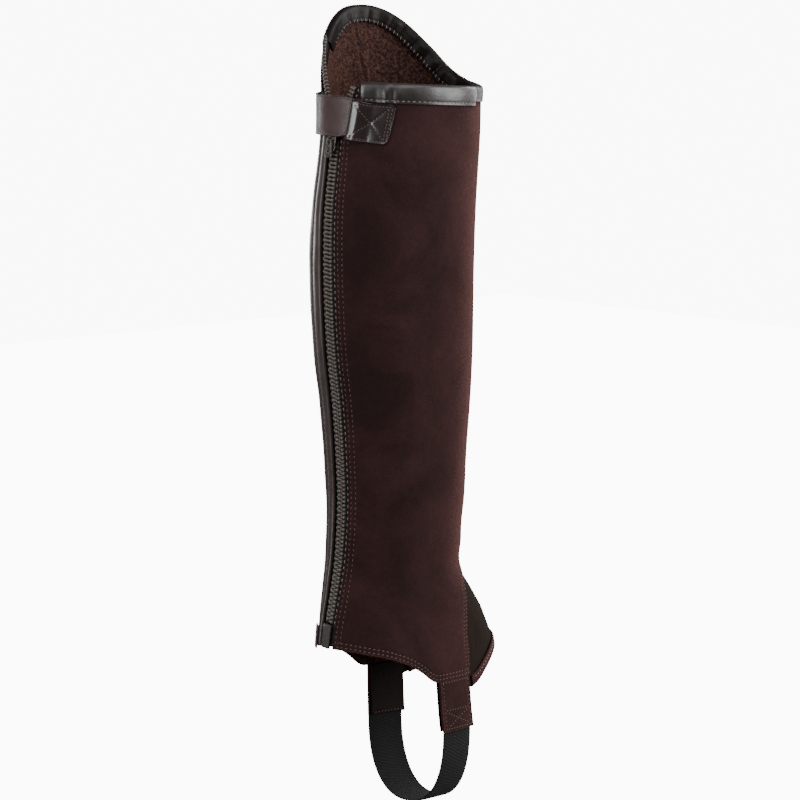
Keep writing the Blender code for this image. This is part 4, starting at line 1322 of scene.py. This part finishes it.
PATCH_SEAMS = [
    SewnLine(0.94, 0.08, 0.94, 0.92),
    SewnLine(0.87, 0.10, 0.87, 0.90),
    SewnLine(0.04, 0.06, 0.93, 0.07),
    SewnLine(0.04, 0.94, 0.93, 0.93),
    SewnLine(0.10, 0.10, 0.87, 0.90),
    SewnLine(0.10, 0.90, 0.87, 0.10),
]
PATCH_BOX = (30.0, 29.0)


def patch_relief(share, rise):
    """The dents along the patch's seams, and the leather puffed up between them."""
    out = seam_dents(PATCH_SEAMS, PATCH_BOX, share, rise, 0.2)
    puff = 0.35 * np.sin(2 * np.pi * rise + 0.6) * bell(share, 0.62, 0.16)
    return np.maximum(out, -0.3) + puff * 0.6 + 0.15


share = np.linspace(0, 1, 70)[None, :]
rise = np.linspace(0, 1, 66)[:, None]
angle, height = patch_place(share, rise)
grid = on_leg(angle, height, patch_out(share) + patch_relief(share, rise))
piece, area = cloth_wall("patch", grid, LEATHER)
dress(piece, patch_leather, "leather", "strap_patch")

# %% [markdown]
# ## The zip
#
# Each half is a woven tape with moulded teeth along its edge. One tooth is a small body with a narrow
# neck and a round head that reaches just past the middle, so that the heads of the two halves lock
# between each other. The tooth is worked out once as rings, and one array product sets copies of it along
# the line of the zip.

# %% Zip lines
INNER_ZIP_TOP, ZIP_START = 129.5, -272.0
TOOTH_REACH, TAPE_WIDTH = 4.2, 14.0
TEETH_OUTER_FACE, TEETH_THICKNESS = -1.0, 3.0
TAPE_FACE = UNDER_SUEDE - 0.4


def inner_zip_line(start, steps):
    """Angles and heights up the middle of the zip, and then up its inner half where it stands open."""
    heights = np.linspace(start, INNER_ZIP_TOP, steps)
    return zip_middle(heights) - 360 + zip_opening(heights), heights


Knot = namedtuple("Knot", "along angle height")


def outer_zip_line(start, steps):
    """Angles and heights up the middle of the zip, and then beside the sloping edge of the outer panel."""
    closed = np.linspace(start, SLIDER_HEIGHT, 30)
    angles = np.concatenate([zip_middle(closed), [row.angle for row in OUTER_ZIP_END]])
    heights = np.concatenate([closed, [row.height for row in OUTER_ZIP_END]])
    length = np.concatenate([[0], np.cumsum(np.hypot(np.diff(angles), np.diff(heights)))])
    knots = [Knot(*values) for values in zip(length, angles, heights)]
    along = np.linspace(0, length[-1], steps)
    return curve_through(knots, "along", "angle")(along), curve_through(knots, "along", "height")(along)


# %% Teeth
TOOTH_PITCH = 3.0
ToothStation = namedtuple("ToothStation", "across half_long half_thick")
TOOTH = [
    ToothStation(-0.95, 0.30, 0.70),
    ToothStation(-0.75, 0.60, 1.10),
    ToothStation(-0.10, 0.74, 1.40),
    ToothStation(0.70, 0.62, 1.30),
    ToothStation(1.25, 0.56, 1.10),
    ToothStation(1.90, 1.12, 1.35),
    ToothStation(3.00, 1.31, 1.50),
    ToothStation(3.90, 1.27, 1.35),
    ToothStation(4.20, 1.00, 0.95),
]
TOOTH_SIDES = 8


def teeth(name, angles, heights, to_panel, phase):
    """All teeth of one half: squircle rings of the tooth's stations, set on each tooth's own axes.

    to_panel is -1 or 1, the side of the zip's line on which this half's panel lies. phase is the share
    of a pitch by which the teeth are moved up, so that they lie between the other half's.
    """
    place, up, normal, step = even_steps(on_leg(angles, heights), leg_normal(angles, heights), TOOTH_PITCH)
    place = place + up * step * phase
    across = unit(np.cross(normal, up)) * to_panel
    turn = np.linspace(0, 2 * np.pi, TOOTH_SIDES, endpoint=False) + np.pi / TOOTH_SIDES
    corner = np.stack([np.cos(turn), np.sin(turn)], axis=-1)
    corner = np.sign(corner) * np.abs(corner) ** 0.6
    station = np.array([(row.across, row.half_long, row.half_thick) for row in TOOTH])
    local = np.stack([
        np.broadcast_to(station[:, :1], (len(TOOTH), TOOTH_SIDES)),
        station[:, 1:2] * corner[None, :, 0],
        station[:, 2:3] * corner[None, :, 1] + TEETH_OUTER_FACE - TEETH_THICKNESS / 2,
    ], axis=-1)
    axes = np.stack([across, up, normal], axis=1)
    rings = place[:, None, None, :] + np.einsum("rsk,nkc->nrsc", local, axes)
    one = capped_tube(len(TOOTH), TOOTH_SIDES)
    one = one if to_panel < 0 else one[:, ::-1]
    print(name, "has", len(place), "teeth")
    return make_mesh(name, rings.reshape(-1, 3), copies(one, len(place), len(TOOTH) * TOOTH_SIDES))


# %% Tapes and teeth of both halves
for half, line, to_panel in (("inner", inner_zip_line, -1), ("outer", outer_zip_line, 1)):
    angles, heights = line(ZIP_START + 1.5, 900)
    row = teeth(f"teeth_{half}", angles, heights, to_panel, 0.25 * to_panel)
    dress(row, acetal, "zip_plastic", f"zip_teeth_{half}")
    behind, beside = TAPE_FACE - TAPE, TOOTH_REACH - 1.6
    flat_tape = [(beside, behind), (TAPE_WIDTH, behind), (TAPE_WIDTH, TAPE_FACE), (beside, TAPE_FACE)]
    angles, heights = line(HEM[-1].height + 1.5, 300)
    tape = loft(f"tape_{half}", carry(angles, heights, smooth_section(flat_tape, 30), to_panel))
    dress(tape, tape_cloth, "webbing", f"zip_tape_{half}")
    along = np.linalg.norm(np.diff(on_leg(angles, heights), axis=0), axis=1).sum()

# %% [markdown]
# ## Hard pieces
#
# The slider, its pull, the stud and the zip's bottom box already have the right form as plain solids.
# Their edges only look machined because they are sharp. A copy of each solid with its loose triangles
# merged and a narrow bevel on its sharp edges reads as cast and moulded, and keeps the exact shape.

# %% Rounded copies of solids
def rounded_copy(node, name, width):
    """A copy of a solid with its edges rounded by a bevel of this width in mm."""
    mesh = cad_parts[node].data.copy()
    mesh.name = name
    work = bmesh.new()
    work.from_mesh(mesh)
    bmesh.ops.remove_doubles(work, verts=work.verts, dist=0.00001)
    bmesh.ops.dissolve_limit(work, angle_limit=0.02, verts=work.verts, edges=work.edges)
    work.to_mesh(mesh)
    work.free()
    mesh.shade_smooth()
    obj = bpy.data.objects.new(name, mesh)
    bpy.context.scene.collection.objects.link(obj)
    bevel = obj.modifiers.new("Edge", "BEVEL")
    bevel.width = width * MM
    bevel.segments = 3
    bevel.limit_method = "ANGLE"
    bevel.angle_limit = np.radians(32)
    bevel.use_clamp_overlap = True
    return obj


dress(rounded_copy("zip_slider", "slider", 0.35), coated_zinc, "dark_metal", "zip_slider")
dress(rounded_copy("zip_pull", "pull_tab", 0.25), coated_zinc, "dark_metal", "zip_pull", body="pull")
dress(rounded_copy("strap_snap", "stud", 0.2), coated_zinc, "dark_metal", "strap_snap")
# The box's darker resin is painted shade.
dress(rounded_copy("zip_box", "bottom_box", 0.5), shaded_box_acetal, "zip_plastic", "zip_box")
dress(rounded_copy("zip_end_tab", "end_fold", 0.5), strip_leather, "leather", "zip_end_tab")

# %% [markdown]
# ## Sewing it together
#
# Stitches run where a maker's machine went: two rows beside the inner half of the zip and along the hem
# and the gusset's seam, one row on each side of the shin's seam, one beside the strip and one in its
# groove, one along each band, along the gusset's binding, on each zip tape and across the strap's end, and
# crossed boxes on the tabs and the patch. Inside the high top the band is sewn to the felt over its edge,
# so those stitches lie across it.

# %% Stitch rows on the suede
rows = []
heights = np.linspace(-286, 124, 1200)
for off in ZIP_ROWS:
    line = -inner_edge(heights) + off / mm_per_degree(-inner_edge(heights), heights)
    rows.append(stitch_row(*seam(line, heights, inner_out(line, heights)), LONG_PITCH))
heights = np.linspace(-290, 118, 1000)
line = STRIP_FROM - STRIP_ROW / mm_per_degree(STRIP_FROM, heights)
rows.append(stitch_row(*seam(line, heights, outer_out(line, heights)), LONG_PITCH))
for sign, relief, first, last in ((-1, inner_out, 171.0, 66.5), (1, outer_out, 146.0, 66.5)):
    angles = np.linspace(first, last, 700)
    for off in HEM_ROWS:
        heights = hem_height(angles) + off
        rows.append(stitch_row(*seam(sign * angles, heights, relief(sign * angles, heights)), HEM_PITCH))
    heights = np.linspace(-318, -206, 500)
    for off in GUSSET_ROWS:
        line = front_edge(heights)
        line = sign * (line + off / mm_per_degree(line, heights))
        rows.append(stitch_row(*seam(line, heights, relief(line, heights)), FINE_PITCH))
    heights = np.linspace(-200, 113, 900)
    line = sign * (SEAM_GAP + SHIN_ROW / mm_per_degree(np.zeros_like(heights), heights))
    rows.append(stitch_row(*seam(line, heights, relief(line, heights))))
for line in PATCH_SEAMS:
    here = along_seam(line, 80)
    angles, heights = patch_place(*here)
    points = on_leg(angles, heights, patch_out(here[0]) + patch_relief(*here))
    rows.append(stitch_row(points, leg_normal(angles, heights), 2.6, fill=0.72, thread=0.6))
piece = sew("suede_stitches", rows + tab_rows)
dress(piece, thread, "webbing")

# %% Stitch rows on the leathers
STRAP_SEAM, CORD_INSET = 0.895, 6.6
OVERCAST_PITCH, OVERCAST_LENGTH, OVERCAST_THREAD = 3.7, 2.9, 0.65
rows = []


def band_line(first, last, inset, out, swell):
    """A line along a band at an inset from its fold, on the band's own surface."""
    angles = np.linspace(first, last, 900)
    edge = top_height(angles)
    return carry(angles, edge, np.array([[inset, out]]), -1, swell)[:, 0], leg_normal(angles, edge)


outside_face = SEAM_GAP + LEATHER - 0.1
for first, last, outside, swell in (
    (-156, -62, INNER_BAND_OUTSIDE, inner_band_swell),
    (-60, 122, OUTER_BAND_OUTSIDE, outer_band_swell),
):
    points, normals = band_line(first, last, outside - BAND_STITCH, outside_face, swell)
    rows.append(stitch_row(points, normals, 4.0, fill=0.6))
inner_leaf = UNDER_SUEDE - LINING - 3 * SEAM_GAP - LEATHER + 0.1
points, normals = band_line(-58, 120, BAND_INSIDE - 1.4, inner_leaf, outer_band_swell)
place, ahead, normal, step = even_steps(points, -normals, OVERCAST_PITCH)
across = unit(np.cross(normal, ahead))
rows.append(stitches(place, across, normal, OVERCAST_LENGTH, OVERCAST_THREAD, lift=0.3, slant=0.25))
heights = np.linspace(-284, 84, 1000)
line = strip_angle(0.5, heights)
rows.append(stitch_row(*seam(line, heights, 0.1 + 0 * heights), LONG_PITCH, fill=0.7, thread=0.6))
angles = np.linspace(-60, 60, 500)
heights = gusset_hem(np.abs(angles))
points = carry(angles, heights, BINDING_ROW)[:, 0]
rows.append(stitch_row(points, leg_normal(angles, heights), 3.4))
angles, heights = strap_place(np.full(80, STRAP_SEAM), 0.06 + 0.88 * np.linspace(0, 1, 80))
points = on_leg(angles, heights, strap_out(angles) - 0.1)
rows.append(stitch_row(points, leg_normal(angles, heights), 3.4, fill=0.7))
for line, to_panel in ((inner_zip_line, -1), (outer_zip_line, 1)):
    angles, heights = line(ZIP_START, 900)
    points = carry(angles, heights, np.array([[CORD_INSET, TAPE_FACE]]), to_panel)[:, 0]
    rows.append(stitch_row(points, leg_normal(angles, heights), 4.6, fill=0.6, thread=1.1))
piece = sew("leather_stitches", rows)
dress(piece, band_thread, "webbing")

# %% [markdown]
# ## Floor and light
#
# The reference is a plain studio shot on white. Dark leather on a white ground needs two levels of light:
# the ground is lit by itself, as on a light table, and the leather only by soft boxes, with little light
# between them, so that its highlights stand out. So the floor and the surroundings are bright to the
# camera alone, and six soft boxes stand round the leg.

# %% The light table
FLOOR_GAP, FLOOR_REACH = 0.0004, 2.5
TABLE_LIGHT, BACKDROP_LIGHT, ROOM_LIGHT = 11.0, 12.3, 0.2
floor_mesh = bpy.data.meshes.new("floor")
ground_height = CAD_BOX[0][2] - FLOOR_GAP
corners = np.array([[-1, -1], [1, -1], [1, 1], [-1, 1]]) * FLOOR_REACH
floor_mesh.from_pydata([(x, y, ground_height) for x, y in corners.tolist()], [], [(0, 1, 2, 3)])
floor = bpy.data.objects.new("floor", floor_mesh)
bpy.context.scene.collection.objects.link(floor)
acrylic, shader = start_material(
    "opal_acrylic",
    Roughness=0.9,
    Specular_IOR_Level=0.1,
    Base_Color=linear("#606060"),
    Emission_Color=(1.0, 1.0, 1.0, 1.0),
)
glow = add(acrylic, "ShaderNodeMath", {"operation": "MULTIPLY"}, {
    0: add(acrylic, "ShaderNodeLightPath").outputs["Is Camera Ray"], 1: TABLE_LIGHT,
})
feed(acrylic, shader, Emission_Strength=glow.outputs["Value"])
floor_mesh.materials.append(acrylic)

# %% The room
world = bpy.data.worlds.new("studio")
world.use_nodes = True
tree = world.node_tree
room = tree.nodes["Background"]
room.inputs["Color"].default_value = (1.0, 1.0, 1.0, 1.0)
room.inputs["Strength"].default_value = ROOM_LIGHT
ground = tree.nodes.new("ShaderNodeBackground")
ground.inputs["Strength"].default_value = BACKDROP_LIGHT
seen = tree.nodes.new("ShaderNodeLightPath")
either = tree.nodes.new("ShaderNodeMixShader")
tree.links.new(seen.outputs["Is Camera Ray"], either.inputs[0])
tree.links.new(room.outputs["Background"], either.inputs[1])
tree.links.new(ground.outputs["Background"], either.inputs[2])
tree.links.new(either.outputs["Shader"], tree.nodes["World Output"].inputs["Surface"])
bpy.context.scene.world = world

# %% Soft boxes
SoftBox = namedtuple("SoftBox", "name azimuth elevation distance width height radiance")
SOFT_BOXES = [
    SoftBox("left", -57, 8, 1.7, 0.65, 1.5, 8.0),
    SoftBox("right", 80, 14, 1.7, 1.30, 1.5, 7.5),
    SoftBox("front", 4, 36, 2.0, 1.80, 0.5, 3.8),
    SoftBox("top", 38, 62, 1.6, 1.2, 0.8, 2.5),
    SoftBox("rear_right", 140, 15, 1.9, 0.6, 1.4, 7.0),
    SoftBox("rear_left", -142, 15, 1.9, 0.6, 1.4, 4.5),
]
towards_camera = -away * np.array([1, 1, 0]) / np.hypot(away[0], away[1])
for row in SOFT_BOXES:
    azimuth, elevation = np.radians(row.azimuth), np.radians(row.elevation)
    level = np.cos(azimuth) * towards_camera + np.sin(azimuth) * right
    way = np.cos(elevation) * level + np.sin(elevation) * np.array([0, 0, 1.0])
    lamp = bpy.data.lights.new(row.name, "AREA")
    lamp.shape = "RECTANGLE"
    lamp.size, lamp.size_y = row.width, row.height
    lamp.energy = row.radiance * np.pi * row.width * row.height
    light = bpy.data.objects.new(row.name, lamp)
    light.location = Vector(aim + way * row.distance)
    light.rotation_euler = Vector(-way).to_track_quat("-Z", "Y").to_euler()
    bpy.context.scene.collection.objects.link(light)
print("floor at", round(ground_height, 4), "m,", len(SOFT_BOXES), "soft boxes")
